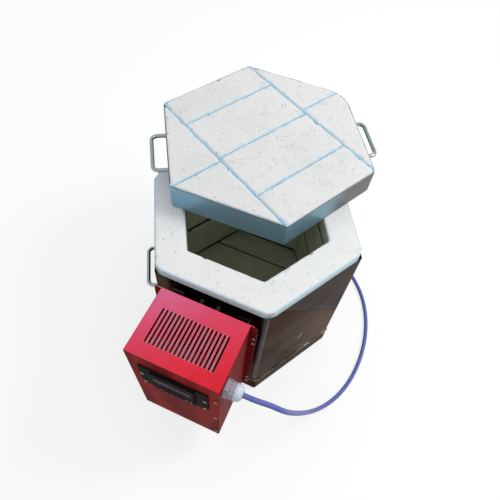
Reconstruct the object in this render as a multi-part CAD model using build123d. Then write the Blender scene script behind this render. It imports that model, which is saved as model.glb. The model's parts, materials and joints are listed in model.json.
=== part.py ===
from build123d import *
from math import cos, sin, tan, radians, sqrt, pi
import os

os.makedirs("parts", exist_ok=True)

# A small six-sided electric kiln: insulating bricks in a steel jacket, a loose lid that lies askew
# on the rim, and a red control box on the front. Millimetres, +Z up. The origin is the centre of
# the six-sided body on the floor, and the control box is on the -Y side.

# Bricks
brick_length = 250.0
brick_width = 124.0
brick_thickness = 64.0
bed_mortar = 1.0
brick_joint = 1.5
joint_recess = 0.5

# Body
chamber_apothem = 145.0
hearth_cross_joints = ((-125.0, 125.0), (-165.0, 86.0))
wall_thickness = brick_thickness
slab_thickness = 70.3
rim_course_height = 53.0
wall_courses = 2
brick_corner_cut = 11.5
sheet = 0.8
sheet_gap = 0.3
jacket_bend = 4.0
bare_rim_height = 16.5
tray_sheet = 1.2
tray_height = 57.5
hem_height = 3.0

# Heating elements
groove_depth = 14.0
element_diameter = 8.0
element_clearance = 0.5
element_rest = 0.3
tail_diameter = 4.0
tail_spacing = 36.0
tail_reach = 27.0
bushing_diameter = 8.8
bushing_reach = 12.0
bushing_fit = 0.2
tail_fit = 0.3
connector_diameter = 10.0
connector_length = 16.0
connector_gap = 0.2

# Thermocouple
probe_diameter = 8.0
probe_depth = 25.0
probe_rise = 63.0
probe_head = (22.0, 16.0, 14.0)

# Pull handles
pull_rod = 9.0
pull_span = 104.0
pull_reach = 33.0
pull_bend = 13.0
body_pull_drop = 190.0
pull_screw_diameter = 5.0
pull_screw_grip = 12.0
screw_fit = 0.1
pull_head_diameter = 10.0
pull_head_height = 3.0
head_pocket_gap = 0.5

# Lid
lid_overhang = 6.0
lid_thickness = brick_thickness
lid_corner_cut = 6.0
lid_band_margin = 2.0
lid_x = -45.9
lid_y = 159.7
lid_yaw = 1.95
lid_course_turn = -30.0
lid_cross_joints = (-128.5, -3.5, 121.5)
lid_near_joint = 3.5
lid_far_joint = -16.0

# Seams and rivets on the hidden side
seam_width = 30.0
rivet_diameter = 4.0
rivet_head = 7.5
rivet_head_height = 1.2
jacket_rivet_count = 6
lid_rivet_count = 3
seam_margin = 22.0

# Control box
box_width = 188.0
box_depth = 135.0
box_above_elements = 37.0
box_below_elements = 47.0
box_gap = 22.4
box_sheet = 1.5
box_bend = 2.5
front_flange = 14.0
side_flange = 14.0
flange_corner_cut = 8.0
panel_screw_diameter = 4.0
panel_screw_head = 8.0
panel_screw_head_height = 2.2
panel_screw_grip = 6.0
panel_screw_inset = 7.5
panel_screw_lowest = 26.0
panel_screw_highest = 68.0

# Vent slots in the top and the floor of the box
slot_count = 17
floor_slot_count = 9
slot_pitch = 8.4
slot_width = 4.0
slot_length = 72.5
slot_setback = 34.75

# Brackets between jacket and box
bracket_sheet = 1.5
bracket_height = 52.0
bracket_foot = 24.0
bracket_above_floor = 41.0
bracket_below_top = 60.5
bracket_screw_offset = 12.0
bracket_screw_inset = 6.5
bracket_screw_diameter = 5.0
bracket_screw_head = 9.0
bracket_screw_head_height = 2.8
nut_flats = 8.0
nut_height = 4.0

# Controller on the front panel
controller_width = 144.0
controller_height = 96.0
controller_drop = 93.0
fascia_depth = 3.0
fascia_corner = 3.0
cutout_width = 138.0
cutout_height = 92.0
module_clearance = 1.0
module_depth = 62.0
bezel_width = 92.0
bezel_height = 84.0
bezel_depth = 4.0
bezel_corner = 4.0
window_width = 78.0
window_height = 15.0
window_centre = (-1.0, 13.0)
window_depth = 1.2
window_proud = 0.3
key_diameter = 8.0
key_count = 4
key_pitch = 13.0
key_first_x = -26.0
key_line = -29.0
key_fit = 0.3
key_travel = 0.8
key_proud = 1.4
key_stem_gap = 0.7
lamp_diameter = 4.0
lamp_x = (28.0, 38.0)
lamp_proud = 0.8
controller_screw_x = 65.5
controller_screw_lines = (8.0, -41.0)

# Inside the control box
rail_length = 150.0
rail_height = 35.0
rail_depth = 7.5
rail_sheet = 1.0
rail_above_floor = 110.0
rail_crown = 25.0
contactor = (45.0, 74.0, 80.0)
contactor_x = -38.0
terminal_block = (56.0, 42.0, 50.0)
terminal_x = 38.0

# Cable gland
gland_setback = 25.0
gland_drop = 40.0
gland_flats = 33.0
gland_thread = 25.0
gland_hex_length = 9.0
gland_cap_length = 25.0
gland_cap_cylinder = 15.0
gland_mouth = 15.0
gland_bore = 14.0
gland_seal_proud = 1.5
locknut_height = 6.0
gland_fit = 0.3

# Mains cable: the points are the corners of its route, and floor is the height of its centre line
cable_diameter = 10.5
cable_floor = 5.4
cable_start_x = 130.0
cable_route = [
    (152, -344, 384),
    (175.5, -342, 378),
    (196, -336.5, 363),
    (212, -327, 336),
    (226, -312, 287),
    (240, -293, 231),
    (254, -270, 173),
    (270, -245, 117),
    (288, -219, 68),
    (308, -192, 31),
    (330, -163, 10),
    (346, -134, cable_floor),
    (357, -98, cable_floor),
    (361, -54, cable_floor),
    (359, -2, cable_floor),
    (352, 57, cable_floor),
    (338, 114, cable_floor),
    (312, 170, cable_floor),
    (274, 219, cable_floor),
    (236, 250, cable_floor),
    (196, 266, cable_floor),
    (152, 265, cable_floor),
]
cable_last_lead = 34.0
coil_centre = (75.0, 320.0)
coil_middle_radius = 57.75
coil_turns_each_way = 2
coil_gap = 0.75
end_lead = 28.0
plug_start = (-22.0, 240.0)

# Mains plug
plug_diameter = 37.0
plug_length = 34.0
plug_neck_length = 26.0
plug_neck_diameter = 15.0
plug_pin_diameter = 4.8
plug_pin_length = 19.0
plug_pin_spacing = 19.0
plug_floor_gap = 0.3

# Values worked out from the sizes above
course_height = brick_width + bed_mortar
body_apothem = chamber_apothem + wall_thickness
slab_top = tray_sheet + slab_thickness
bed_top = slab_top + brick_joint
hearth_top = bed_top + brick_thickness
course_floors = [hearth_top + i * course_height for i in range(wall_courses + 1)]
rim_top = course_floors[-1] + rim_course_height
jacket_inner = body_apothem + sheet_gap
jacket_outer = jacket_inner + sheet
jacket_top = rim_top - bare_rim_height
tray_inner = jacket_outer + sheet_gap
tray_outer = tray_inner + tray_sheet
lid_brick_apothem = body_apothem + lid_overhang
groove_apothem = chamber_apothem + groove_depth
groove_height = element_diameter + 2 * element_clearance
element_apothem = chamber_apothem + groove_depth / 2
element_height = element_rest + element_diameter / 2
tail_height = bushing_fit + bushing_diameter / 2
probe_height = course_floors[-2] + probe_rise
body_pull_height = rim_top - body_pull_drop
box_back = -(jacket_outer + box_gap)
box_front = box_back - box_sheet - box_depth
plate_front = box_back - box_sheet
panel_back = box_front + box_sheet
box_floor = hearth_top - box_below_elements
box_top = course_floors[-1] + box_above_elements
flange_half_width = box_width / 2 + side_flange
slot_centre_y = plate_front - slot_setback - slot_length / 2
bracket_centres = (box_floor + bracket_above_floor, box_top - bracket_below_top)
bracket_screw_x = flange_half_width - bracket_screw_inset
bracket_rivet_x = flange_half_width - 1.5 * bracket_foot
panel_screw_x = box_width / 2 - panel_screw_inset
panel_screw_ends = (box_floor + panel_screw_lowest, box_top - panel_screw_highest)
panel_screw_heights = (panel_screw_ends[0], sum(panel_screw_ends) / 2, panel_screw_ends[1])
controller_centre_z = box_top - controller_drop
rail_centre_z = box_floor + rail_above_floor
gland_y = box_front + gland_setback
gland_z = box_top - gland_drop
bushing_end = plate_front - bushing_reach
fascia_front = box_front - fascia_depth
bezel_front = fascia_front - bezel_depth
lid_band_inner = lid_brick_apothem + sheet_gap
lid_band_outer = lid_band_inner + sheet
lid_middle = rim_top + lid_thickness / 2
bracket_hole = bracket_screw_diameter / 2 + screw_fit
cable_radius = cable_diameter / 2


def save(name, *solids):
    """Write one sub-part, which may hold several solids, under its name."""
    shape = solids[0] if len(solids) == 1 else Compound(children=list(solids))
    export_step(shape, f"parts/{name}.step")


def side_of(apothem):
    return 2 * apothem / sqrt(3)


def hexagon(apothem, cut=0.0, bend=0.0):
    """A hexagon with flat sides towards -Y and +Y, its corners cut off or rounded."""
    shape = RegularPolygon(side_of(apothem), 6)
    if cut:
        shape = chamfer(shape.vertices(), cut)
    if bend:
        shape = fillet(shape.vertices(), bend)
    return shape


def prism(sketch, bottom, top):
    return Pos(0, 0, bottom) * extrude(sketch, top - bottom)


def block(x, y, z):
    """A box from its lowest and highest value on each axis."""
    size = Box(x[1] - x[0], y[1] - y[0], z[1] - z[0])
    return Pos((x[0] + x[1]) / 2, (y[0] + y[1]) / 2, (z[0] + z[1]) / 2) * size


def rod(diameter, start, end):
    """A round bar along Y."""
    length = abs(end[1] - start[1])
    middle = (start[1] + end[1]) / 2
    return Pos(start[0], middle, start[2]) * Rot(90, 0, 0) * Cylinder(diameter / 2, length)


def wall_plane(apothem, angle, height):
    """The plane of one side of the body: its normal points out, its own Y axis points up."""
    out = (cos(radians(angle)), sin(radians(angle)), 0)
    along = (-out[1], out[0], 0)
    origin = (apothem * out[0], apothem * out[1], height)
    return Plane(origin=origin, x_dir=along, z_dir=out)


def tube(path, diameter, corners=Transition.TRANSFORMED):
    section = Plane(origin=path @ 0, z_dir=path % 0) * Circle(diameter / 2)
    return sweep(section, path=path, transition=corners)


def corner_radii(points):
    """The largest arc that the two runs at each corner allow."""
    radii = []
    for before, here, after in zip(points, points[1:], points[2:]):
        run_in = Vector(*here) - Vector(*before)
        run_out = Vector(*after) - Vector(*here)
        turn = radians(run_in.get_angle(run_out))
        radii.append(0.45 * min(run_in.length, run_out.length) / tan(turn / 2))
    return radii


def round_screw(diameter, grip, head_diameter, head_height):
    """A round-head screw: its head stands on the local XY plane and its shank goes down."""
    head = Cylinder(head_diameter / 2, head_height, align=(Align.CENTER, Align.CENTER, Align.MIN))
    top = head.faces().sort_by(Axis.Z)[-1].edges()
    shank = Cylinder(diameter / 2, grip, align=(Align.CENTER, Align.CENTER, Align.MAX))
    return chamfer(top, head_height * 0.35) + shank


# Bricks

def course(bottom, top, cutters):
    """Six mitred bricks that close one course of the wall, with what passes through cut out."""
    inner = RegularPolygon(side_of(chamber_apothem), 6).vertices()
    outer = RegularPolygon(side_of(body_apothem), 6).vertices()
    around = prism(hexagon(body_apothem, cut=brick_corner_cut), bottom, top)
    bricks = []
    for i in range(6):
        low, high = radians(60 * i), radians(60 * (i + 1))
        corners = [
            (side_of(chamber_apothem) * cos(low), side_of(chamber_apothem) * sin(low)),
            (side_of(body_apothem) * cos(low), side_of(body_apothem) * sin(low)),
            (side_of(body_apothem) * cos(high), side_of(body_apothem) * sin(high)),
            (side_of(chamber_apothem) * cos(high), side_of(chamber_apothem) * sin(high)),
        ]
        brick = prism(make_face(Polyline(*corners, close=True)), bottom, top) & around
        for cutter in cutters:
            brick = brick - cutter
        bricks.append(brick.solids()[0])
    return bricks


def groove(bottom):
    """The groove that the heating element of a course lies in."""
    inside = prism(hexagon(chamber_apothem - groove_depth), bottom, bottom + groove_height)
    return prism(hexagon(groove_apothem), bottom, bottom + groove_height) - inside


def tail_notch(x, bottom):
    """The notch filed in a brick's bed for one bushing."""
    radius = bushing_diameter / 2 + bushing_fit
    reach = (-groove_apothem + 1, -body_apothem - 1)
    hole = rod(2 * radius, (x, reach[0], bottom + tail_height), (x, reach[1], bottom + tail_height))
    bed = block((x - radius, x + radius), (reach[1], reach[0]), (bottom, bottom + tail_height))
    return hole + bed


def head_pockets(angle, height, apothem):
    """The pockets in the bricks for the screw heads of one pull handle."""
    plane = wall_plane(apothem, angle, height)
    radius = pull_head_diameter / 2 + head_pocket_gap
    depth = pull_head_height + head_pocket_gap
    pockets = []
    for x in (-pull_span / 2, pull_span / 2):
        pockets.append(plane * Pos(x, 0, 0) * Cylinder(radius, 2 * depth))
    return pockets


def wall_course(index):
    bottom = course_floors[index]
    top = course_floors[index + 1] if index < wall_courses else rim_top
    cutters = [groove(bottom)] + [tail_notch(x, bottom) for x in (-tail_spacing / 2, tail_spacing / 2)]
    for angle in (30, 210):
        cutters += head_pockets(angle, body_pull_height, body_apothem)
    if bottom < probe_height < top:
        ends = (0, -chamber_apothem + 1, probe_height), (0, -body_apothem - 1, probe_height)
        cutters.append(rod(probe_diameter + 2 * bushing_fit, *ends))
    return course(bottom, top, cutters)


def brick_field(outline, rows, bottom, top):
    """A layer of bricks laid in rows inside an outline. A row is (low, high, cross joints)."""
    reach = 2 * body_apothem
    half = brick_joint / 2
    bricks = []
    for low, high, joints in rows:
        ends = [-reach] + list(joints) + [reach]
        for left, right in zip(ends, ends[1:]):
            cell = Rectangle(right - left - 2 * half, high - low - 2 * half)
            cell = Pos((left + right) / 2, (low + high) / 2) * cell
            bricks += [prism(face, bottom, top) for face in (outline & cell).faces()]
    return bricks


def joint_field(outline, rows, bottom, top):
    """The mortar between the bricks of brick_field."""
    reach = 2 * body_apothem
    strips = []
    for low, high, joints in rows:
        if low > -reach:
            strips.append(Pos(0, low) * Rectangle(2 * reach, brick_joint))
        for joint in joints:
            strips.append(Pos(joint, (low + high) / 2) * Rectangle(brick_joint, high - low))
    return prism(outline & (Sketch() + strips), bottom, top)


# The hearth is laid in rows from the back edge, the lid in one middle row of whole bricks
far = 2 * body_apothem
hearth_rows = []
row_back = body_apothem + brick_joint / 2
while row_back > -body_apothem:
    row_front = row_back - brick_width - brick_joint
    cross_joints = hearth_cross_joints[len(hearth_rows) % len(hearth_cross_joints)]
    hearth_rows.append((row_front, row_back, cross_joints))
    row_back = row_front
half_row = (brick_length - brick_joint) / 2
lid_rows = [
    (half_row, far, (lid_far_joint,)),
    (-half_row, half_row, lid_cross_joints),
    (-far, -half_row, (lid_near_joint,)),
]

hearth_outline = hexagon(body_apothem, cut=brick_corner_cut)
save("base_slab", prism(hearth_outline, tray_sheet, slab_top))
save("hearth_bed_mortar", prism(hearth_outline, slab_top, bed_top))
save("hearth_bricks", *brick_field(hearth_outline, hearth_rows, bed_top, hearth_top))
save("hearth_joints", joint_field(hearth_outline, hearth_rows, bed_top, hearth_top - joint_recess))
save("lower_wall_bricks", *wall_course(0))
save("upper_wall_bricks", *wall_course(1))
save("rim_bricks", *wall_course(2))


# Steel jacket and tray

def hex_shell(inner, thickness, bottom, top, bend):
    outside = prism(hexagon(inner + thickness, bend=bend + thickness), bottom, top)
    return outside - prism(hexagon(inner, bend=bend), bottom, top)


def lap_seam(apothem, bottom, top):
    """The overlap at the back, where the two ends of the sheet meet."""
    half = seam_width / 2
    return block((-half, half), (apothem, apothem + sheet), (bottom, top))


def seam_rivets(apothem, bottom, top, count):
    """Blind rivets down a lap seam, set from outside."""
    step = (top - bottom - 2 * seam_margin) / (count - 1)
    face = apothem + sheet
    rivets = []
    for i in range(count):
        plane = wall_plane(face, 90, bottom + seam_margin + i * step)
        rivets.append(plane * round_screw(rivet_diameter, 2 * sheet, rivet_head, rivet_head_height))
    return rivets


def rivet_holes(apothem, bottom, top, count):
    step = (top - bottom - 2 * seam_margin) / (count - 1)
    heights = [bottom + seam_margin + i * step for i in range(count)]
    return [wall_plane(apothem, 90, z) * Cylinder(rivet_diameter / 2, 6 * sheet) for z in heights]


def pull_screw_holes(apothem, angle, height):
    plane = wall_plane(apothem, angle, height)
    radius = pull_screw_diameter / 2 + screw_fit
    return [plane * Pos(x, 0, 0) * Cylinder(radius, 6 * sheet) for x in (-pull_span / 2, pull_span / 2)]


seam_bottom = tray_height + hem_height
jacket = hex_shell(jacket_inner, sheet, tray_sheet, jacket_top, jacket_bend)
jacket = jacket + lap_seam(jacket_outer, seam_bottom, jacket_top)
openings = rivet_holes(jacket_outer, seam_bottom, jacket_top, jacket_rivet_count)
for angle in (30, 210):
    openings += pull_screw_holes(jacket_outer, angle, body_pull_height)
for bottom in course_floors:
    for x in (-tail_spacing / 2, tail_spacing / 2):
        hole = bushing_diameter + 2 * bushing_fit
        z = bottom + tail_height
        openings.append(rod(hole, (x, -jacket_inner + 2, z), (x, -jacket_outer - 2, z)))
openings.append(
    rod(
        probe_diameter + 2 * bushing_fit,
        (0, -jacket_inner + 2, probe_height),
        (0, -jacket_outer - 2, probe_height),
    )
)
bracket_rivet_places = [
    (side * bracket_rivet_x, z + offset)
    for side in (-1, 1)
    for z in bracket_centres
    for offset in (-bracket_screw_offset, bracket_screw_offset)
]
for x, z in bracket_rivet_places:
    openings.append(rod(rivet_diameter, (x, -jacket_inner + 2, z), (x, -jacket_outer - 2, z)))
for opening in openings:
    jacket = jacket - opening
save("steel_jacket", jacket)
save("jacket_rivets", *seam_rivets(jacket_outer, seam_bottom, jacket_top, jacket_rivet_count))

tray = hex_shell(tray_inner, tray_sheet, 0, tray_height, jacket_bend)
tray = tray + prism(hexagon(tray_outer, bend=jacket_bend + tray_sheet), 0, tray_sheet)
tray = tray + hex_shell(tray_outer, sheet, tray_height - hem_height, tray_height, jacket_bend)
save("base_tray", tray)


# Heating elements

def element(bottom):
    """A heating element: one loop in its groove, and two thinner tails out through the front."""
    z = bottom + element_height
    tail_z = bottom + tail_height
    corner = side_of(element_apothem)
    half = tail_spacing / 2
    start = half + tail_diameter
    around = [(corner * cos(radians(a)), corner * sin(radians(a)), z) for a in (-60, 0, 60, 120, 180, 240)]
    loop = [(start, -element_apothem, z)] + around + [(-start, -element_apothem, z)]
    shape = tube(Polyline(*loop), element_diameter, Transition.RIGHT)
    tail_end = plate_front - bushing_reach - tail_reach
    for side in (-1, 1):
        bend = [
            (side * (start + 1), -element_apothem, tail_z),
            (side * half, -element_apothem, tail_z),
            (side * half, tail_end, tail_z),
        ]
        shape = shape + tube(Polyline(*bend), tail_diameter, Transition.RIGHT)
    return shape


def through_front(x, z, diameter, bore, start, end):
    sleeve = rod(diameter, (x, start, z), (x, end, z))
    return sleeve - rod(bore, (x, start + 1, z), (x, end - 1, z))


bushings = []
connectors = []
for name, bottom in zip(("lower", "middle", "upper"), course_floors):
    save(f"{name}_element", element(bottom))
    for x in (-tail_spacing / 2, tail_spacing / 2):
        z = bottom + tail_height
        bore = tail_diameter + 2 * tail_fit
        bushings.append(through_front(x, z, bushing_diameter, bore, -groove_apothem, bushing_end))
        connector_start = bushing_end - tail_reach + connector_length
        connector_bore = tail_diameter + 2 * connector_gap
        ends = connector_start, connector_start - connector_length
        connectors.append(through_front(x, z, connector_diameter, connector_bore, *ends))
save("element_bushings", *bushings)
save("element_connectors", *connectors)

probe_ends = (0, -chamber_apothem + probe_depth, probe_height), (0, bushing_end, probe_height)
save("thermocouple_sheath", rod(probe_diameter, *probe_ends))
head_x, head_y, head_z = probe_head
save(
    "thermocouple_head",
    block(
        (-head_x / 2, head_x / 2),
        (bushing_end - head_y, bushing_end),
        (probe_height - head_z / 2, probe_height + head_z / 2),
    ),
)


# Pull handles

def pull_handle():
    """A bent round bar that stands on the local XY plane, drilled for a screw at each foot."""
    half = pull_span / 2
    corners = [(-half, 0, 0), (-half, 0, pull_reach), (half, 0, pull_reach), (half, 0, 0)]
    bar = tube(FilletPolyline(*corners, radius=pull_bend), pull_rod)
    hole = Cylinder(pull_screw_diameter / 2 + screw_fit, 2 * (pull_screw_grip + screw_fit))
    for x in (-half, half):
        bar = bar - Pos(x, 0, 0) * hole
    return bar


def pull_screws():
    """The two screws of a handle, driven from inside through the sheet."""
    screw = round_screw(
        pull_screw_diameter, pull_screw_grip + sheet, pull_head_diameter, pull_head_height
    )
    return [Pos(x, 0, -sheet) * Rot(180, 0, 0) * screw for x in (-pull_span / 2, pull_span / 2)]


left_wall = wall_plane(jacket_outer, 210, body_pull_height)
right_wall = wall_plane(jacket_outer, 30, body_pull_height)
save("left_body_handle", left_wall * pull_handle())
save("right_body_handle", right_wall * pull_handle())
save("body_handle_screws", *[wall * s for wall in (left_wall, right_wall) for s in pull_screws()])


# Lid, made about its own centre and then laid askew on the rim
lid_place = Pos(lid_x, lid_y, 0) * Rot(0, 0, lid_yaw)
lid_turn = Rot(0, 0, lid_course_turn)
lid_outline = lid_turn.inverse() * hexagon(lid_brick_apothem, cut=lid_corner_cut)
lid_top = rim_top + lid_thickness


def lid_bricks():
    bricks = brick_field(lid_outline, lid_rows, rim_top, lid_top)
    pockets = [p for a in (30, 210) for p in head_pockets(a, lid_middle, lid_brick_apothem)]
    placed = []
    for brick in bricks:
        brick = lid_turn * brick
        for pocket in pockets:
            brick = brick - pocket
        placed.append(lid_place * brick.solids()[0])
    return placed


def lid_band():
    bottom = rim_top + lid_band_margin
    top = lid_top - lid_band_margin
    band = hex_shell(lid_band_inner, sheet, bottom, top, jacket_bend)
    band = band + lap_seam(lid_band_outer, bottom, top)
    holes = rivet_holes(lid_band_outer, bottom - 8, top + 8, lid_rivet_count)
    for angle in (30, 210):
        holes += pull_screw_holes(lid_band_outer, angle, lid_middle)
    for hole in holes:
        band = band - hole
    return lid_place * band


lid_joints = joint_field(lid_outline, lid_rows, rim_top + joint_recess, lid_top - joint_recess)
save("lid_bricks", *lid_bricks())
save("lid_joints", lid_place * lid_turn * lid_joints)
save("lid_band", lid_band())
lid_rivet_span = rim_top + lid_band_margin - 8, lid_top - lid_band_margin + 8
save(
    "lid_band_rivets",
    *[lid_place * r for r in seam_rivets(lid_band_outer, *lid_rivet_span, lid_rivet_count)],
)
lid_left = lid_place * wall_plane(lid_band_outer, 210, lid_middle).location
lid_right = lid_place * wall_plane(lid_band_outer, 30, lid_middle).location
save("lid_left_handle", lid_left * pull_handle())
save("lid_right_handle", lid_right * pull_handle())
save("lid_handle_screws", *[side * s for side in (lid_left, lid_right) for s in pull_screws()])


# Control box

def facing_front(x, y, z):
    """A plane whose normal points out of the front of the box."""
    return Plane(origin=(x, y, z), x_dir=(1, 0, 0), z_dir=(0, -1, 0))


def vent_slots(z, count):
    """A row of slots, as wide in the top of the box as in its floor."""
    pitch = slot_pitch * (slot_count - 1) / (count - 1)
    first = -(count - 1) / 2 * pitch
    slots = []
    for i in range(count):
        slot = Rot(0, 0, 90) * SlotOverall(slot_length, slot_width)
        place = Pos(first + i * pitch, slot_centre_y, z - box_sheet)
        slots.append(place * extrude(slot, 3 * box_sheet))
    return slots


def bracket_screw_places():
    return [
        (side * bracket_screw_x, z + offset)
        for side in (-1, 1)
        for z in bracket_centres
        for offset in (-bracket_screw_offset, bracket_screw_offset)
    ]


def box_shell():
    """Top, floor and sides folded from one sheet, with flanges for the front panel and the brackets."""
    half = box_width / 2
    middle = facing_front(0, plate_front, (box_floor + box_top) / 2)
    height = box_top - box_floor
    outside = RectangleRounded(box_width, height, box_bend)
    inside = RectangleRounded(box_width - 2 * box_sheet, height - 2 * box_sheet, box_bend - box_sheet)
    shell = middle * extrude(outside - inside, plate_front - panel_back)
    for side in (-1, 1):
        inner = side * (half - front_flange)
        outer = side * (half - box_sheet)
        x = (min(inner, outer), max(inner, outer))
        z = (box_floor + box_bend, box_top - box_bend)
        shell = shell + block(x, (panel_back, panel_back + box_sheet), z)
        near, far_edge = side * (half - box_sheet), side * flange_half_width
        corners = [
            (near, box_floor + box_bend),
            (side * half, box_floor + box_bend),
            (far_edge, box_floor + flange_corner_cut),
            (far_edge, box_top - flange_corner_cut),
            (side * half, box_top - box_bend),
            (near, box_top - box_bend),
        ]
        flange = make_face(Polyline(*corners, close=True))
        shell = shell + extrude(facing_front(0, plate_front, 0) * flange, box_sheet)
    for slot in vent_slots(box_top, slot_count) + vent_slots(box_floor, floor_slot_count):
        shell = shell - slot
    for x, z in bracket_screw_places():
        shell = shell - rod(2 * bracket_hole, (x, plate_front + 1, z), (x, plate_front - 3, z))
    for z in panel_screw_heights:
        hole = panel_screw_diameter + 2 * screw_fit
        shell = shell - rod(hole, (panel_screw_x, panel_back - 1, z), (panel_screw_x, panel_back + 3, z))
    gland_hole = Rot(0, 90, 0) * Cylinder(gland_thread / 2 + gland_fit, 6 * box_sheet)
    return shell - Pos(half, gland_y, gland_z) * gland_hole


def box_back_plate():
    """The plate that closes the back of the box and carries the rail."""
    half = flange_half_width
    plate = block((-half, half), (plate_front, box_back), (box_floor, box_top))
    corners = plate.edges().filter_by(Axis.Y)
    plate = chamfer(corners, flange_corner_cut)
    for bottom in course_floors:
        for x in (-tail_spacing / 2, tail_spacing / 2):
            z = bottom + tail_height
            hole = bushing_diameter + 2 * bushing_fit
            plate = plate - rod(hole, (x, box_back + 1, z), (x, plate_front - 1, z))
    hole = probe_diameter + 2 * bushing_fit
    plate = plate - rod(hole, (0, box_back + 1, probe_height), (0, plate_front - 1, probe_height))
    for x, z in bracket_screw_places():
        plate = plate - rod(2 * bracket_hole, (x, box_back + 1, z), (x, plate_front - 1, z))
    return plate


def box_front_panel():
    middle = facing_front(0, panel_back, (box_floor + box_top) / 2)
    outline = RectangleRounded(box_width, box_top - box_floor, box_bend)
    panel = middle * extrude(outline, box_sheet)
    panel = panel - block(
        (-cutout_width / 2, cutout_width / 2),
        (box_front - 1, panel_back + 1),
        (controller_centre_z - cutout_height / 2, controller_centre_z + cutout_height / 2),
    )
    for z in panel_screw_heights:
        hole = panel_screw_diameter + 2 * screw_fit
        panel = panel - rod(hole, (panel_screw_x, panel_back + 1, z), (panel_screw_x, box_front - 1, z))
    return panel


def z_bracket(side, centre):
    """A folded bracket: a foot riveted to the jacket, a web, and a foot under the box's flange."""
    web = side * (flange_half_width - bracket_foot)
    feet = [
        (web - side * bracket_foot, web, -jacket_outer - bracket_sheet, -jacket_outer),
        (web, side * flange_half_width, box_back, box_back + bracket_sheet),
        (web - side * bracket_sheet, web, box_back, -jacket_outer),
    ]
    z = (centre - bracket_height / 2, centre + bracket_height / 2)
    shape = None
    for a, b, low, high in feet:
        foot = block((min(a, b), max(a, b)), (low, high), z)
        shape = foot if shape is None else shape + foot
    for offset in (-bracket_screw_offset, bracket_screw_offset):
        x = side * bracket_screw_x
        hole = rod(2 * bracket_hole, (x, box_back + 5, centre + offset), (x, box_back - 5, centre + offset))
        x = side * bracket_rivet_x
        rivet = rod(
            rivet_diameter,
            (x, -jacket_outer + 5, centre + offset),
            (x, -jacket_outer - 5, centre + offset),
        )
        shape = shape - hole - rivet
    return shape


save("control_box_shell", box_shell())
save("control_box_back_plate", box_back_plate())
save("control_box_front_panel", box_front_panel())
save("box_brackets", *[z_bracket(side, z) for side in (-1, 1) for z in bracket_centres])

screw_grip = 2 * box_sheet + bracket_sheet + nut_height + 1
bracket_screw = round_screw(
    bracket_screw_diameter, screw_grip, bracket_screw_head, bracket_screw_head_height
)
flange_face = plate_front - box_sheet
save(
    "bracket_screws",
    *[facing_front(x, flange_face, z) * bracket_screw for x, z in bracket_screw_places()],
)
nut = extrude(RegularPolygon(nut_flats / 2, 6, major_radius=False), nut_height)
nut = nut - Cylinder(bracket_hole, 3 * nut_height)
nut_seat = box_back + bracket_sheet
save(
    "bracket_nuts",
    *[facing_front(x, nut_seat + nut_height, z) * nut for x, z in bracket_screw_places()],
)
bracket_rivet = round_screw(
    rivet_diameter, bracket_sheet + sheet, rivet_head, rivet_head_height
)
rivet_face = -jacket_outer - bracket_sheet
save(
    "bracket_rivets",
    *[facing_front(x, rivet_face, z) * bracket_rivet for x, z in bracket_rivet_places],
)
panel_screw = round_screw(
    panel_screw_diameter, panel_screw_grip, panel_screw_head, panel_screw_head_height
)
save(
    "front_panel_screws",
    *[facing_front(panel_screw_x, box_front, z) * panel_screw for z in panel_screw_heights],
)


# Controller

def controller_fascia():
    """A black plate with a raised middle that holds the display, the keys and two lamps."""
    plate = extrude(RectangleRounded(controller_width, controller_height, fascia_corner), fascia_depth)
    bezel = RectangleRounded(bezel_width, bezel_height, bezel_corner)
    bezel = Pos(0, 0, fascia_depth) * extrude(bezel, bezel_depth)
    bezel = chamfer(bezel.faces().sort_by(Axis.Z)[-1].outer_wire().edges(), bezel_depth * 0.4)
    shape = plate + bezel
    total = fascia_depth + bezel_depth
    pocket = Rectangle(window_width, window_height)
    floor = total - window_depth + window_proud
    shape = shape - Pos(window_centre[0], window_centre[1], floor) * extrude(pocket, total)
    for x in key_places:
        shape = shape - Pos(x, key_line, 0) * Cylinder(key_diameter / 2 + key_fit, 4 * total)
    for x in lamp_x:
        shape = shape - Pos(x, key_line, 0) * Cylinder(lamp_diameter / 2, 4 * total)
    for x in (-controller_screw_x, controller_screw_x):
        for y in controller_screw_lines:
            radius = panel_screw_diameter / 2 + screw_fit
            shape = shape - Pos(x, y, 0) * Cylinder(radius, 4 * total)
    return shape


key_places = [key_first_x + i * key_pitch for i in range(key_count)]
panel_face = facing_front(0, box_front, controller_centre_z)
save("controller_fascia", panel_face * controller_fascia())
window_floor = fascia_depth + bezel_depth - window_depth + window_proud
window = extrude(Rectangle(window_width, window_height), window_depth)
save("controller_window", panel_face * Pos(window_centre[0], window_centre[1], window_floor) * window)
key_length = fascia_depth + bezel_depth + key_proud - key_travel - key_stem_gap
key = Cylinder(key_diameter / 2, key_length, align=(Align.CENTER, Align.CENTER, Align.MIN))
key = fillet(key.faces().sort_by(Axis.Z)[-1].edges(), key_proud * 0.6)
for name, x in zip(("down", "up", "program", "start"), key_places):
    save(f"{name}_key", panel_face * Pos(x, key_line, key_travel + key_stem_gap) * key)
lamp = Cylinder(lamp_diameter / 2, fascia_depth + bezel_depth + lamp_proud, align=(Align.CENTER,) * 2 + (Align.MIN,))
save("status_lamps", *[panel_face * Pos(x, key_line, 0) * lamp for x in lamp_x])
controller_screw = round_screw(
    panel_screw_diameter, fascia_depth, panel_screw_head, panel_screw_head_height
)
save(
    "controller_screws",
    *[
        panel_face * Pos(x, y, fascia_depth) * controller_screw
        for x in (-controller_screw_x, controller_screw_x)
        for y in controller_screw_lines
    ],
)
module_half = (cutout_width / 2 - module_clearance, cutout_height / 2 - module_clearance)
save(
    "controller_module",
    block(
        (-module_half[0], module_half[0]),
        (box_front, box_front + module_depth),
        (controller_centre_z - module_half[1], controller_centre_z + module_half[1]),
    ),
)


# Rail, contactor and terminals

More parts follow.
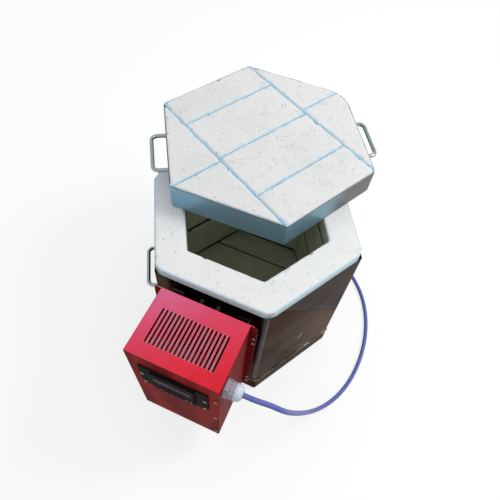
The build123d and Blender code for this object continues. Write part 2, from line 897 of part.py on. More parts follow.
def mounting_rail():
    """A top-hat rail: a raised crown between two lips, fixed flat to the back plate."""
    half = rail_length / 2
    low, high = rail_centre_z - rail_height / 2, rail_centre_z + rail_height / 2
    crown = (rail_centre_z - rail_crown / 2, rail_centre_z + rail_crown / 2)
    front = plate_front - rail_depth
    base = block((-half, half), (plate_front - rail_sheet, plate_front), crown)
    shape = base
    for z0, z1 in ((low, crown[0]), (crown[1], high)):
        lip = (z0, z1 + rail_sheet) if z1 == crown[0] else (z0 - rail_sheet, z1)
        shape = shape + block((-half, half), (front, front + rail_sheet), lip)
        wall = (z1, z1 + rail_sheet) if z1 == crown[0] else (z0 - rail_sheet, z0)
        shape = shape + block((-half, half), (front, plate_front), wall)
    return shape


def rail_device(size, x):
    width, height, depth = size
    front = plate_front - rail_depth
    return block(
        (x - width / 2, x + width / 2),
        (front - depth, front),
        (rail_centre_z - height / 2, rail_centre_z + height / 2),
    )


def terminal_strip():
    """Mains terminals: a block with a row of wire mouths along its upper edge."""
    shape = rail_device(terminal_block, terminal_x)
    width, height, depth = terminal_block
    front = plate_front - rail_depth - depth
    step = width / 5
    for i in range(4):
        x = terminal_x - width / 2 + (i + 1) * step
        mouth = block(
            (x - step / 4, x + step / 4),
            (front - 1, front + depth / 3),
            (rail_centre_z + height / 6, rail_centre_z + height / 3),
        )
        shape = shape - mouth
    return shape


def contactor_block():
    """A contactor: a deep base with a narrower coil housing on its front."""
    width, height, depth = contactor
    base = rail_device((width, height, depth * 0.6), contactor_x)
    head = rail_device((width * 0.8, height * 0.6, depth), contactor_x)
    return base + head


save("mounting_rail", mounting_rail())
save("contactor", contactor_block())
save("mains_terminals", terminal_strip())


# Cable gland, along +X from the right side of the box

def along_x(x):
    """A plane whose normal is +X, on the gland's axis."""
    return Plane(origin=(x, gland_y, gland_z), x_dir=(0, 1, 0), z_dir=(1, 0, 0))


def hex_bar(length):
    return extrude(RegularPolygon(gland_flats / 2, 6, major_radius=False), length)


box_side = box_width / 2
thread_length = locknut_height + box_sheet + 2
gland_body = hex_bar(gland_hex_length)
gland_body = gland_body + Pos(0, 0, -thread_length / 2) * Cylinder(gland_thread / 2, thread_length)
save("gland_body", along_x(box_side) * gland_body)

cap_inner = gland_flats / 2 - 0.8
cap_profile = Polyline(
    (gland_bore / 2, 0),
    (cap_inner, 0),
    (gland_flats / 2, 1.5),
    (gland_flats / 2, gland_cap_cylinder),
)
cap_dome = ThreePointArc(
    (gland_flats / 2, gland_cap_cylinder),
    (gland_flats / 2 - 2.6, gland_cap_length - 3.6),
    (gland_mouth / 2 + 1.6, gland_cap_length),
)
cap_close = Polyline((gland_mouth / 2 + 1.6, gland_cap_length), (gland_bore / 2, gland_cap_length), (gland_bore / 2, 0))
cap_face = make_face([cap_profile, cap_dome, cap_close])
gland_cap = revolve(Plane.XZ * cap_face, Axis.Z)
flutes = PolarLocations(gland_flats / 2 + 3.4, 12) * Cylinder(4.2, 2 * gland_cap_cylinder)
gland_cap = gland_cap - flutes
save("gland_cap", along_x(box_side + gland_hex_length) * gland_cap)
seal = Cylinder(gland_bore / 2 - 0.1, gland_cap_length + gland_seal_proud, align=(Align.CENTER,) * 2 + (Align.MIN,))
save("gland_seal", along_x(box_side + gland_hex_length) * seal)
locknut = hex_bar(locknut_height) - Cylinder(gland_thread / 2 + screw_fit, 4 * locknut_height)
save("gland_locknut", along_x(box_side - box_sheet - locknut_height) * locknut)


# Mains cable

def biarc(start, start_way, end, end_way):
    """Two arcs that join two points and follow the given directions at both."""
    gap = end - start
    ways = start_way + end_way
    square = 2 * (1 - start_way.dot(end_way))
    along = gap.dot(ways)
    reach = (-along + sqrt(along * along + square * gap.dot(gap))) / square
    first = start + start_way * reach
    second = end - end_way * reach
    middle = (first + second) * 0.5
    middle_way = (second - first).normalized()
    return [
        TangentArc(start, middle, tangent=start_way),
        TangentArc(middle, end, tangent=middle_way),
    ]


coil_pitch = cable_diameter + coil_gap
coil_sweep = 2 * pi * coil_turns_each_way
coil_outer = coil_middle_radius + coil_pitch * coil_turns_each_way / 2


def coil_point(angle):
    """The centre line of the coil: in on the floor, up a layer where it turns back, and out again."""
    inward = min(angle, 2 * coil_sweep - angle)
    radius = coil_outer - coil_pitch * inward / (2 * pi)
    climb = min(max((angle - coil_sweep + pi / 2) / pi, 0), 1)
    z = cable_floor + coil_pitch * climb * climb * (3 - 2 * climb)
    turn = -pi / 2 - angle
    return Vector(coil_centre[0] + radius * cos(turn), coil_centre[1] + radius * sin(turn), z)


def coil_way(angle):
    step = 0.001
    if angle in (0, 2 * coil_sweep):
        return Vector(-1, 0, 0)
    return (coil_point(angle + step) - coil_point(angle - step)).normalized()


def coil_path():
    edges = []
    half_turns = 4 * coil_turns_each_way
    angles = [2 * coil_sweep * i / half_turns for i in range(half_turns + 1)]
    lead = Vector(cable_diameter, 0, 0)
    edges.append(Line(coil_point(0) + lead, coil_point(0)))
    for a, b in zip(angles, angles[1:]):
        edges += biarc(coil_point(a), coil_way(a), coil_point(b), coil_way(b))
    edges.append(Line(coil_point(angles[-1]), coil_point(angles[-1]) - lead))
    return Wire(edges)


def least_self_gap(path, diameter):
    """The least space between two stretches of the coil, measured on points of its centre line."""
    count = 720
    points = [path @ (i / count) for i in range(count + 1)]
    step = path.length / count
    apart = int(pi * coil_middle_radius / step)
    least = min((points[i] - points[j]).length for i in range(count + 1) for j in range(i + apart, count + 1))
    return least - diameter


def free_stretch(points):
    """A free stretch of cable: straight runs joined by the largest arcs that they allow."""
    radii = corner_radii(points)
    path = FilletPolyline(*points, radius=radii)
    solid = tube(path, cable_diameter)
    section = pi * cable_radius**2
    print("corner radii", [round(r) for r in radii])
    print("length", round(path.length), "volume ratio", round(solid.volume / (section * path.length), 4))
    return solid, path


coil = coil_path()
coil_in, coil_out = coil @ 0, coil @ 1
lead_in = (coil_in.X + cable_last_lead, coil_in.Y, coil_in.Z)
seal_face = box_side + gland_hex_length + gland_cap_length + gland_seal_proud
main_points = [(seal_face, gland_y, gland_z)] + cable_route + [lead_in, tuple(coil_in)]
main_cable, main_path = free_stretch(main_points)
save("mains_cable", main_cable)
coil_solid = tube(coil, cable_diameter)
print("coil length", round(coil.length), "least gap", round(least_self_gap(coil, cable_diameter), 2))
print("coil volume ratio", round(coil_solid.volume / (pi * cable_radius**2 * coil.length), 4))
save("mains_cable_coil", coil_solid)

plug_axis = plug_diameter / 2 + plug_floor_gap
end_points = [
    tuple(coil_out),
    (coil_out.X - end_lead, coil_out.Y, coil_out.Z),
    (plug_start[0] + end_lead, plug_start[1], plug_axis),
    (*plug_start, plug_axis),
]
end_cable, end_path = free_stretch(end_points)
save("mains_cable_end", end_cable)
print("whole cable", round(main_path.length + coil.length + end_path.length))


# Mains plug, at the end of the cable

def plug_body():
    """A round moulded plug with a ribbed neck, its axis along local +Z, its face at the far end."""
    profile = Polyline(
        (0, 0),
        (plug_neck_diameter / 2 - 1.5, 0),
        (plug_neck_diameter / 2, plug_neck_length),
    )
    shoulder = ThreePointArc(
        (plug_neck_diameter / 2, plug_neck_length),
        (plug_diameter / 2 - 3.5, plug_neck_length + 6),
        (plug_diameter / 2, plug_neck_length + 14),
    )
    rest = Polyline(
        (plug_diameter / 2, plug_neck_length + 14),
        (plug_diameter / 2, plug_neck_length + plug_length),
        (0, plug_neck_length + plug_length),
        (0, 0),
    )
    body = revolve(Plane.XZ * make_face([profile, shoulder, rest]), Axis.Z)
    for i in range(3):
        ring = Cylinder(plug_neck_diameter, 1.6) - Cylinder(plug_neck_diameter / 2 - 1.6, 1.6)
        body = body - Pos(0, 0, 6 + 6 * i) * ring
    return body


plug_plane = Plane(origin=(*plug_start, plug_axis), x_dir=(0, 0, 1), z_dir=(-1, 0, 0))
save("mains_plug", plug_plane * plug_body())
pin = Cylinder(plug_pin_diameter / 2, plug_pin_length, align=(Align.CENTER,) * 2 + (Align.MIN,))
face_height = plug_neck_length + plug_length
save(
    "plug_pins",
    *[plug_plane * Pos(0, side * plug_pin_spacing / 2, face_height) * pin for side in (-1, 1)],
)
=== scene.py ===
# %% [markdown]
# # A small six-sided kiln
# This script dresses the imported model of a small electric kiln: white insulating bricks in a dark
# steel jacket, a lid that lies askew, and a red control box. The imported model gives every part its
# place, in metres, with Z up. What is soft, worn, wound or finely shaped is built over it here, and
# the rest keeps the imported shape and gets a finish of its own.

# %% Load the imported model
import json
from math import cos, hypot, pi, radians, sin

import bmesh
import bpy
import numpy as np
from mathutils import Matrix, Vector
from mathutils.bvhtree import BVHTree

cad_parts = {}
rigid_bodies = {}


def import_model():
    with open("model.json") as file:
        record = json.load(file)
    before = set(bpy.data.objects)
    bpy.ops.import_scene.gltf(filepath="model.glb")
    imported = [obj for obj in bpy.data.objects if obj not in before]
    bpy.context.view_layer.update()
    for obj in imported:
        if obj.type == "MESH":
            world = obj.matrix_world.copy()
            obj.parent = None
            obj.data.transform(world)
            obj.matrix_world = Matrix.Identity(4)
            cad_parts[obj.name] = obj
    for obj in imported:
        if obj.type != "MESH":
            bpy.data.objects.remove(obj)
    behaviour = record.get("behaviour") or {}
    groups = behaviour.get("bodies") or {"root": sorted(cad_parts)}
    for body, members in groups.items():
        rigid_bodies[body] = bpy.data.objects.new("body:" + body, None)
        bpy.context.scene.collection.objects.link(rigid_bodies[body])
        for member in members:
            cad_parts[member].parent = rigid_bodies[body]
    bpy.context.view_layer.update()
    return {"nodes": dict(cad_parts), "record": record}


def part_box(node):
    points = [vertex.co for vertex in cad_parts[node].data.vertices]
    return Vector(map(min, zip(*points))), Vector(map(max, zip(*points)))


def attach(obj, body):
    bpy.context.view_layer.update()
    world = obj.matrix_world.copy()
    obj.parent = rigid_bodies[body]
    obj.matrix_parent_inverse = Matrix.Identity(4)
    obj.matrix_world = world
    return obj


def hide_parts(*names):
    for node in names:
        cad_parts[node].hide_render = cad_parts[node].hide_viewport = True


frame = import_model()
nodes = frame["nodes"]
scene = bpy.context.scene
lid_middle = Vector((-0.0459, 0.1597, 0.472))
lid_apothem = 0.2161
lid_yaw = 1.95


# %% Objects, curves and directions
def as_object(name, data):
    made = bpy.data.objects.new(name, data)
    scene.collection.objects.link(made)
    return made


def curve_object(lines, name="line", kind="POLY", radius=1.0):
    """A curve object whose open splines have the given points."""
    curve = bpy.data.curves.new(name, "CURVE")
    curve.dimensions = "3D"
    for points in lines:
        spline = curve.splines.new(kind)
        spline.points.add(len(points) - 1)
        for corner, place in zip(spline.points, points):
            corner.co = (*place, 1)
            corner.radius = radius
    return as_object(name, curve)


def directions(degrees):
    """The level direction at this angle, and the one a quarter turn further."""
    out = Vector((cos(radians(degrees)), sin(radians(degrees)), 0))
    return out, Vector((-out.y, out.x, 0))


print("lid at", tuple(lid_middle))

# %% [markdown]
# ## Camera
# The photograph looks down on the kiln from in front and a little to the right. The camera was
# solved from the corners of the rim and of the lid, whose real sizes are known, so its place, turn
# and focal length aren't guesses.

# %% Place the camera
camera = as_object("camera", bpy.data.cameras.new("camera"))
camera.location = (0.181, -0.5613, 1.1949)
camera.rotation_euler = (0.5763586, -0.0614171, 0.4064722)
camera.data.sensor_width = 36
camera.data.lens = 32.505
scene.camera = camera
scene.view_settings.view_transform = "Standard"
print("camera", tuple(camera.location))

# %% [markdown]
# ## The mains cable
# A rubber cable is one length of something bendy, so it is one smooth spline. Its points are the
# corners of the route: out of the gland, down in front of the body, over the floor, behind the kiln,
# round a small coil and out to the plug. A NURBS spline of order 3 passes inside these corners as a
# real cable does. The coil is a flat spiral that turns back on a second layer.

# %% Route of the cable
cable_diameter = 0.0105
cable_floor = 0.0054
cable_exit = (0.1295, -0.344, 0.384)
cable_down = [
    (0.1498, -0.344, 0.384), (0.1792, -0.3388, 0.378), (0.1992, -0.3342, 0.3612),
    (0.2131, -0.3248, 0.3315), (0.2248, -0.3098, 0.2878), (0.2375, -0.2906, 0.2334),
    (0.2523, -0.2681, 0.174), (0.2687, -0.2432, 0.1163), (0.2865, -0.2166, 0.0665),
    (0.3048, -0.1889, 0.0299), (0.3221, -0.1602, 0.01),
]
cable_over_floor = [
    (0.3369, -0.1299), (0.3485, -0.095), (0.3564, -0.0531), (0.3594, -0.0026),
    (0.355, 0.0541), (0.3394, 0.116), (0.311, 0.1745), (0.274, 0.219),
    (0.236, 0.25), (0.196, 0.266), (0.152, 0.265), (0.1195, 0.251),
]
cable_end = [(0.0365, 0.251, 0.0168), (0.006, 0.24, 0.0188), (-0.022, 0.24, 0.0188)]
coil_centre = (0.075, 0.32)
coil_outer = 0.069
coil_pitch = 0.01125
coil_turns = 2
points_per_turn = 24
route = [cable_exit, *cable_down, *[(x, y, cable_floor) for x, y in cable_over_floor]]
print("points before the coil", len(route))

# %% Two turns inwards on the floor, a climb to the second layer, and two turns out again
half = 2 * pi * coil_turns
for i in range(2 * coil_turns * points_per_turn + 1):
    angle = 2 * pi * i / points_per_turn
    radius = coil_outer - coil_pitch * min(angle, 2 * half - angle) / (2 * pi)
    climb = min(max((angle - half + pi / 2) / pi, 0), 1)
    height = cable_floor + coil_pitch * climb * climb * (3 - 2 * climb)
    turn = -pi / 2 - angle
    route.append((coil_centre[0] + radius * cos(turn), coil_centre[1] + radius * sin(turn), height))
route += cable_end
print("points", len(route))

# %% Lay the cable
cable = curve_object([route], "mains_cable_sheath", "NURBS", cable_diameter / 2)
spline = cable.data.splines[0]
spline.order_u = 3
spline.use_endpoint_u = True
spline.resolution_u = 12
cable.data.bevel_depth = 1.0
cable.data.bevel_resolution = 4
cable.data.use_fill_caps = True
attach(cable, "kiln")
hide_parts("mains_cable", "mains_cable_coil", "mains_cable_end")
print("cable", cable.name)

# %% [markdown]
# ## A way to write node trees
# Written node by node, a sum of three terms takes a page, so one class wraps an output and lets
# Python's own signs add the Math nodes. Another holds the tree, and its `node` method makes every
# kind of node: settings first, because they change which sockets exist, then values and links.

# %% Wires and recipes
class Wire:
    """An output of a node. Python's signs turn sums on it into Math nodes."""

    def __init__(self, recipe, socket):
        self.recipe, self.socket = recipe, socket

    def __getitem__(self, output):
        """Another output of the same node."""
        return Wire(self.recipe, self.socket.node.outputs[output])

    def step(self, low, high, bottom=0.0, top=1.0):
        """A soft step from bottom, where this wire is at low, to top, where it is at high."""
        values = {"Value": self, 1: low, 2: high, 3: bottom, 4: top}
        return self.recipe.node("MapRange", values, interpolation_type="SMOOTHSTEP")

    def mix(self, first, second, blend="MIX"):
        """The first colour where this wire is 0 and the second where it is 1."""
        first, second = (c if isinstance(c, Wire) else (*c, 1) for c in (first, second))
        return self.recipe.node("Mix", {0: self, 6: first, 7: second}, 2, data_type="RGBA", blend_type=blend)

    def bump(self, distance, strength=1.0, **more):
        return self.recipe.node("Bump", {"Height": self, "Distance": distance, "Strength": strength, **more})


def sign(operation, swapped=False):
    """A method that adds one Math node."""

    def method(*wires):
        values = wires[::-1] if swapped else wires
        return wires[0].recipe.node("ShaderNodeMath", dict(enumerate(values)), operation=operation)

    return method


signs = {"add": "ADD", "sub": "SUBTRACT", "mul": "MULTIPLY", "truediv": "DIVIDE", "abs": "ABSOLUTE"}
for name, operation in signs.items():
    setattr(Wire, f"__{name}__", sign(operation))
    setattr(Wire, f"__r{name}__", sign(operation, True))
for name, operation in {"most": "MAXIMUM", "least": "MINIMUM", "sine": "SINE", "cosine": "COSINE"}.items():
    setattr(Wire, name, sign(operation))


class Recipe:
    """A node tree that is written line by line. A kind of node is given without its prefix."""

    prefix = "ShaderNode"

    def __init__(self, tree):
        self.tree = tree
        tree.nodes.clear()

    def node(self, kind, sockets=None, output=0, **settings):
        made = self.tree.nodes.new(kind if "Node" in kind else self.prefix + kind)
        for name, value in settings.items():
            setattr(made, name, value)
        for name, value in (sockets or {}).items():
            for item in value if isinstance(value, list) else [value]:
                if isinstance(item, Wire):
                    self.tree.links.new(item.socket, made.inputs[name])
                else:
                    made.inputs[name].default_value = item
        return Wire(self, made.outputs[output]) if made.outputs else made

    def vector(self, operation, *values, **more):
        return self.node("ShaderNodeVectorMath", {**dict(enumerate(values)), **more}, operation=operation)


print("signs", *signs)

# %% [markdown]
# ### Patterns that most finishes share
# Cloudy tone comes from noise, and pores and scratches from cells and stretched noise. All of them
# read the piece's own Object coordinates, in metres, so a scale of 1000 makes grains of about a
# millimetre.

# %% Shader patterns
finishes = {}


class Finish(Recipe):
    """The node tree of one finish, filed under its name, with the patterns that it is made of."""

    def __init__(self, name):
        self.material = finishes[name] = bpy.data.materials.new(name)
        self.material.use_nodes = True
        super().__init__(self.material.node_tree)
        self.spot = self.node("TexCoord", output="Object")

    def stretched(self, *factors):
        return self.vector("MULTIPLY", self.spot, factors)

    def axes(self):
        x = self.node("SeparateXYZ", {0: self.spot})
        return x, x["Y"], x["Z"]

    def noise(self, scale, detail=3.0, rough=0.55, at=None):
        values = {"Vector": at or self.spot, "Scale": scale, "Detail": detail, "Roughness": rough}
        return self.node("TexNoise", values)

    def cells(self, scale, **settings):
        return self.node("TexVoronoi", {"Vector": self.spot, "Scale": scale}, **settings)

    def cloudy(self, scale, first, second, detail=3.0):
        """Two tones in a noise of the given scale."""
        return self.noise(scale, detail).mix(first, second)

    def surface(self, **values):
        """The principled shader. Its socket names are written with _ for a space."""
        sockets = {}
        for name, value in values.items():
            sockets[name.replace("_", " ")] = (*value, 1) if isinstance(value, tuple) else value
        shader = self.node("BsdfPrincipled", sockets)
        self.node("OutputMaterial", {"Surface": shader})


print("patterns ready")

# %% [markdown]
# ## Studio
# A plain pale floor and soft light. The sky is brightest overhead, so that tops are bright and
# upright faces a little darker, and one large soft lamp high on the right gives that side its tone.
# The background is white for the camera and in reflections only, so it adds no light.

# %% Sky and floor
def watched(recipe):
    """1 for what is seen directly, in a reflection or through something, 0 for light on a surface."""
    ray = recipe.node("LightPath", output="Is Camera Ray")
    return ray.most(ray["Is Transmission Ray"]).most(ray["Is Glossy Ray"])


sky = bpy.data.worlds.new("sky")
sky.use_nodes = True
scene.world = sky
dome = Recipe(sky.node_tree)
direction = dome.node("TexCoord", output="Generated")
height = dome.node("SeparateXYZ", {0: direction}, "Z")
overhead = height.step(0.0, 0.95, 0.24, 0.98)
ambient = dome.node("Background", {"Color": (0.95, 0.975, 1.0, 1), "Strength": overhead})
white = dome.node("Background", {"Color": (1, 1, 1, 1), "Strength": 1.0})
pale = dome.node("MixShader", {0: watched(dome), 1: ambient, 2: white})
dome.node("OutputWorld", {"Surface": pale})

square = (-1, -1), (1, -1), (1, 1), (-1, 1)
floor_mesh = bpy.data.meshes.new("floor")
floor_mesh.from_pydata([(x * 4, y * 4, -0.0005) for x, y in square], [], [(0, 1, 2, 3)])
as_object("floor", floor_mesh)

paper = Finish("paper")
fibre = paper.cloudy(60, (0.44, 0.44, 0.44), (0.48, 0.48, 0.48), 4)
seen = watched(paper)
card = paper.node("BsdfDiffuse", {"Color": seen.mix(fibre, (0.97, 0.97, 0.97))})
glow = paper.node("Emission", {"Color": (1, 1, 1, 1), "Strength": 1.0})
lit = paper.node("MixShader", {0: seen * 0.72, 1: card, 2: glow})
paper.node("OutputMaterial", {"Surface": lit})
floor_mesh.materials.append(paper.material)
print("floor and sky ready")

# %% Lamp
place = Vector((1.5, 0.9, 2.3))
lamp = as_object("key_lamp", bpy.data.lights.new("key_lamp", "AREA"))
lamp.data.shape = "DISK"
lamp.data.size = 1.1
lamp.data.energy = 34
lamp.data.color = (1.0, 0.98, 0.96)
lamp.location = place
lamp.rotation_euler = (Vector((0, 0, 0.3)) - place).to_track_quat("-Z", "Y").to_euler()
print("lamp at", tuple(place))

# %% [markdown]
# ## Brick
# Insulating firebrick is nearly white, chalky, and full of pores from the sawdust that burnt out of
# the clay. Three sizes of pore have an uneven threshold, and a fine noise is the chalky grain.
# Within the six inner walls and below the rim a dull olive film is partly a stain left by firings
# and partly painted shade, the grooves are painted near black as shade, and the rim's outer edge and
# the strip of brick below it get a painted blue-grey shade. A point's distance from the axis towards
# the nearest wall is the largest of three turned coordinates.

# %% Brick finish
chamber_apothem = 0.145
groove_apothem = 0.159
rim_top = 0.44
cos30, sin30 = cos(radians(30)), sin(radians(30))


def fired_film(brick, colour):
    """The olive film inside the chamber, partly fired stain and partly painted shade; grooves and gaps
    behind the wall face painted near black as shade; painted blue-grey shade on the rim's outer edge
    and the strip below it; and a dark mitre joint in that strip.
    """
    x, y, z = brick.axes()
    slanted = abs(x * cos30 + y * sin30), abs(x * cos30 - y * sin30)
    distance = abs(y).most(slanted[0]).most(slanted[1])
    uneven = 0.004 * brick.noise(60, 3)
    depth = distance.step(groove_apothem + 0.004, groove_apothem + 0.001)
    below = (z + uneven).step(rim_top + 0.0005, rim_top - 0.006)
    # Fired stain and painted shade: the olive film on the chamber's inner faces, below the rim.
    film_and_shade = brick.cloudy(26, (0.44, 0.47, 0.34), (0.64, 0.66, 0.5), 4)
    # Painted shade: the grooves and gaps behind the chamber's wall face are near black.
    groove_shade = distance.step(chamber_apothem + 0.0008, chamber_apothem + 0.004)
    film_and_shade = groove_shade.mix(film_and_shade, (0.018, 0.017, 0.014))
    colour = (depth * below * 0.96).mix(colour, film_and_shade)
    # Painted shade: blue-grey on the rim's outer edge and on the strip of brick below it.
    beside = z.step(0.4385, 0.435) * distance.step(0.188, 0.194)
    rim_edge_shade = (distance + 0.6 * uneven).step(0.2045, 0.2075).most(beside)
    rim_edge_shade_tone = beside.mix((0.46, 0.62, 0.72), (0.64, 0.8, 0.86))
    colour = (rim_edge_shade * 0.8).mix(colour, rim_edge_shade_tone)
    mitre = abs(y).least(slanted[0]).least(slanted[1]).step(0.0012, 0.0004)
    return (mitre * beside * 0.7).mix(colour, (0.1, 0.13, 0.16))


def brick_finish(name, tone, lines_chamber=False, pointed=False):
    """tone is the colour of clean brick. Its third argument says that it lines the chamber, which adds
    a fired film and painted shade. pointed: cement is smeared along its joints."""
    brick = Finish(name)
    mottle = brick.noise(70, 4, 0.6)
    small = (brick.cells(300) + 0.35 * brick.noise(800)).step(0.44, 0.3)
    wide = (brick.cells(110) + 0.5 * brick.noise(420)).step(0.5, 0.36)
    fleck = brick.noise(330, 2, 0.5).step(0.62, 0.67)
    pores = (small * brick.noise(75, 2).step(0.54, 0.64)).most(wide * brick.noise(38, 3).step(0.58, 0.66))
    pores = pores.most(fleck * brick.noise(42, 3, 0.6).step(0.55, 0.63))
    dim = tuple(c * f for c, f in zip(tone, (0.94, 0.95, 0.96)))
    colour = brick.noise(9, 4, 0.6).step(0.35, 0.7).mix(tone, dim)
    colour = (mottle.step(0.55, 0.75) * 0.25).mix(colour, (0.6, 0.62, 0.62))
    colour = (pores * 0.7).mix(colour, (0.24, 0.33, 0.31))
    if pointed:
        seam = brick.node("Attribute", output="Fac", attribute_name="seam")
        ragged = seam - 0.011 * brick.noise(55, 5, 0.7).step(0.42, 0.75)
        smear = ragged.step(0.0022, 0.0002) * mottle.step(0.35, 0.55)
        colour = (smear * 0.62).mix(colour, (0.4, 0.6, 0.74))
    if lines_chamber:
        colour = fired_film(brick, colour)
    relief = 0.5 * brick.noise(900, 3, 0.6) - 1.6 * pores
    normal = relief.bump(0.0006, 0.7)
    brick.surface(Base_Color=colour, Roughness=0.93, Specular_IOR_Level=0.2, Normal=normal)


brick_finish("brick", (0.765, 0.765, 0.755), lines_chamber=True)
brick_finish("lid_brick", (0.705, 0.7, 0.69), pointed=True)
brick_finish("slab", (0.66, 0.64, 0.6))
print("brick finishes ready")

# %% [markdown]
# ### Cement
# The joints are a thin film of air-setting cement, bluer and smoother than the brick. In the
# chamber it's burnt dark.

# %% Cement finish
cements = {
    "cement": (40, (0.38, 0.62, 0.77), (0.52, 0.74, 0.87), 0.85),
    "burnt_cement": (60, (0.03, 0.028, 0.022), (0.075, 0.07, 0.055), 0.9),
}
for name, (scale, first, second, rough) in cements.items():
    joint = Finish(name)
    sandy = joint.noise(700, 3).bump(0.0003)
    colour = joint.cloudy(scale, first, second)
    joint.surface(Base_Color=colour, Roughness=rough, Normal=sandy)
print(*cements)

# %% [markdown]
# ## Sheet steel
# The jacket is thin polished stainless sheet. Its dark taupe with soft horizontal streaks is a
# painted reflection of a dark room. A slow bump bends its reflections, noise drawn out along the
# floor gives faint rolling lines, and fingers and rags leave patches of another roughness. More
# painted reflection and shade, two slanting edges, a lighter end and a greyer strip beside the box,
# is laid on the colour.

# %% Steel finishes
def rolled(steel, fine):
    """The relief of rolled sheet: fine lines on a slow unevenness."""
    return fine.bump(0.00002, 0.4, Normal=steel.noise(7, 2).bump(0.0036, 0.5))


def sheet_finish(name, dark, light, rough, mark, painted_cast=None):
    steel = Finish(name)
    lines = steel.noise(4, 1, 0.4, steel.stretched(0.12, 0.12, 3.0))
    fine = steel.noise(420, 2, 0.5, steel.stretched(0.03, 0.03, 1.0))
    smear = steel.noise(10, 3, 0.5)
    colour = lines.step(0.32, 0.68).mix(dark, light)
    colour = (smear.step(0.55, 0.8) * 0.2).mix(colour, tuple(c * 0.8 for c in dark))
    if painted_cast:
        colour = painted_cast(steel, colour)
    steel.surface(
        Base_Color=mark(steel).mix(colour, (0.85, 0.79, 0.7)),
        Metallic=1.0,
        Specular_Tint=(0.41, 0.38, 0.36),
        Roughness=rough + 0.08 * smear.step(0.4, 0.7) + 0.03 * fine,
        Normal=rolled(steel, fine),
    )


def right_front(steel):
    """How far a point is along the right front face, how high, and whether it is on that face."""
    x, y, z = steel.axes()
    return x * sin30 + y * cos30, z, (x * cos30 - y * sin30).step(0.2, 0.206)


def room_cast(steel, colour):
    """Painted reflection and shade of the room in the polished jacket: lighter towards one end, greyer
    above one edge, darker below another, and a greyer strip beside the box.
    """
    along, z, face = right_front(steel)
    upper = along + 0.0505 + (z - 0.379) / 1.12
    lower = along + 0.0877 + (z - 0.22) / 1.53
    painted_cast = along.step(-0.09, 0.11).mix((0.9, 0.8, 0.8), (2.0, 1.7, 1.6))
    painted_cast = upper.step(-0.001, 0.003).mix(painted_cast, (1.2, 1.4, 1.75))
    painted_cast = lower.step(0.006, -0.004).mix(painted_cast, (0.62, 0.5, 0.46))
    edges = abs(upper).step(0.007, 0.001) * 0.4 + abs(lower).step(0.01, 0.001) * 0.3
    painted_cast = edges.mix(painted_cast, (0.3, 0.25, 0.25))
    colour = face.mix(colour, painted_cast, "MULTIPLY")
    x, y, z = steel.axes()
    # Painted reflection: a greyer strip of the front face beside the box.
    strip = x.step(0.107, 0.115) * y.step(-0.2085, -0.2095)
    return (strip * 0.7).mix(colour, (0.2, 0.19, 0.21))


def scratch(steel):
    """One bright streak on the right front face, from its lower end so far along and so far up."""
    along, z, face = right_front(steel)
    out, up = along + 0.005, z - 0.167
    width, rise = 0.0145, 0.022
    length = hypot(width, rise)
    run = (out * width + up * rise) / length
    beside = abs(out * rise - up * width) / length
    inside = abs(run - length / 2).step(length / 2, length / 2 - 0.003)
    uneven = 0.0014 + 0.0022 * steel.noise(300, 2)
    return inside * beside.step(uneven, uneven * 0.5) * face


def rubbed_hem(steel):
    """The folded top edge of the tray, with a painted highlight that is broken in places."""
    x, y, z = steel.axes()
    return z.step(0.0553, 0.0566) * (0.15 + 0.5 * steel.noise(24, 3).step(0.4, 0.6))


# Painted reflection: the jacket's dark tones and streaks stand for a dark room mirrored in it.
jacket_tones = (0.056, 0.046, 0.038), (0.092, 0.076, 0.063)
sheet_finish("jacket_steel", *jacket_tones, 0.2, scratch, room_cast)
tray_tones = (0.03, 0.024, 0.02), (0.06, 0.048, 0.04)
sheet_finish("tray_steel", *tray_tones, 0.26, rubbed_hem)


def band_tone(steel):
    """Painted reflection on the lid's band: bluer on the left, dark at the far right, and on its cut
    lip dark in front and pale behind.
    """
    x, y, z = steel.axes()
    reflection_across = x.step(-0.14, 0.08).mix((0.25, 0.46, 0.6), (0.22, 0.38, 0.48))
    right = (x + 0.01 * steel.noise(40, 3)).step(0.14, 0.172)
    lip = y.step(0.05, 0.2).mix((0.08, 0.14, 0.2), (0.62, 0.68, 0.72))
    return z.step(0.5006, 0.5014).mix(right.mix(reflection_across, (0.088, 0.086, 0.083)), lip)


# The band's colour is a painted reflection, with handling marks on it.
band = Finish("band_steel")
handled = band.noise(10, 3, 0.5).step(0.4, 0.75)
band.surface(
    Base_Color=(handled * 0.25).mix(band_tone(band), (0.2, 0.26, 0.29)),
    Metallic=0.5,
    Roughness=0.34 + 0.08 * handled,
    Normal=rolled(band, band.noise(420, 2, 0.5, band.stretched(0.03, 0.03, 1.0))),
)
print("sheet finishes ready")

# %% [markdown]
# ### Bare metal
# Turned, drawn and plated metal has small spots, a fine grain and handling marks.

# %% Bare metals
metals = {
    "rod_steel": ((0.3, 0.34, 0.34), 0.16, 0.2),
    "zinc_steel": ((0.2, 0.17, 0.155), 0.34, 0.4),
    "element_wire": ((0.1, 0.085, 0.075), 0.5, 0.5),
    "brass": ((0.6, 0.43, 0.18), 0.24, 0.3),
    "pin_metal": ((0.66, 0.64, 0.58), 0.18, 0.2),
}
for name, (colour, rough, spots) in metals.items():
    metal = Finish(name)
    marks = metal.noise(220, 4, 0.6)
    speck = metal.noise(900, 2).step(0.62, 0.75)
    worn_tone = tuple(c * 0.6 for c in colour)
    metal.surface(
        Base_Color=(marks.step(0.5, 0.75) * spots).mix(colour, worn_tone),
        Metallic=1.0,
        Roughness=rough + 0.12 * marks + 0.1 * speck,
        Normal=metal.noise(1500, 2).bump(0.00004, 0.5),
    )
print(*metals)

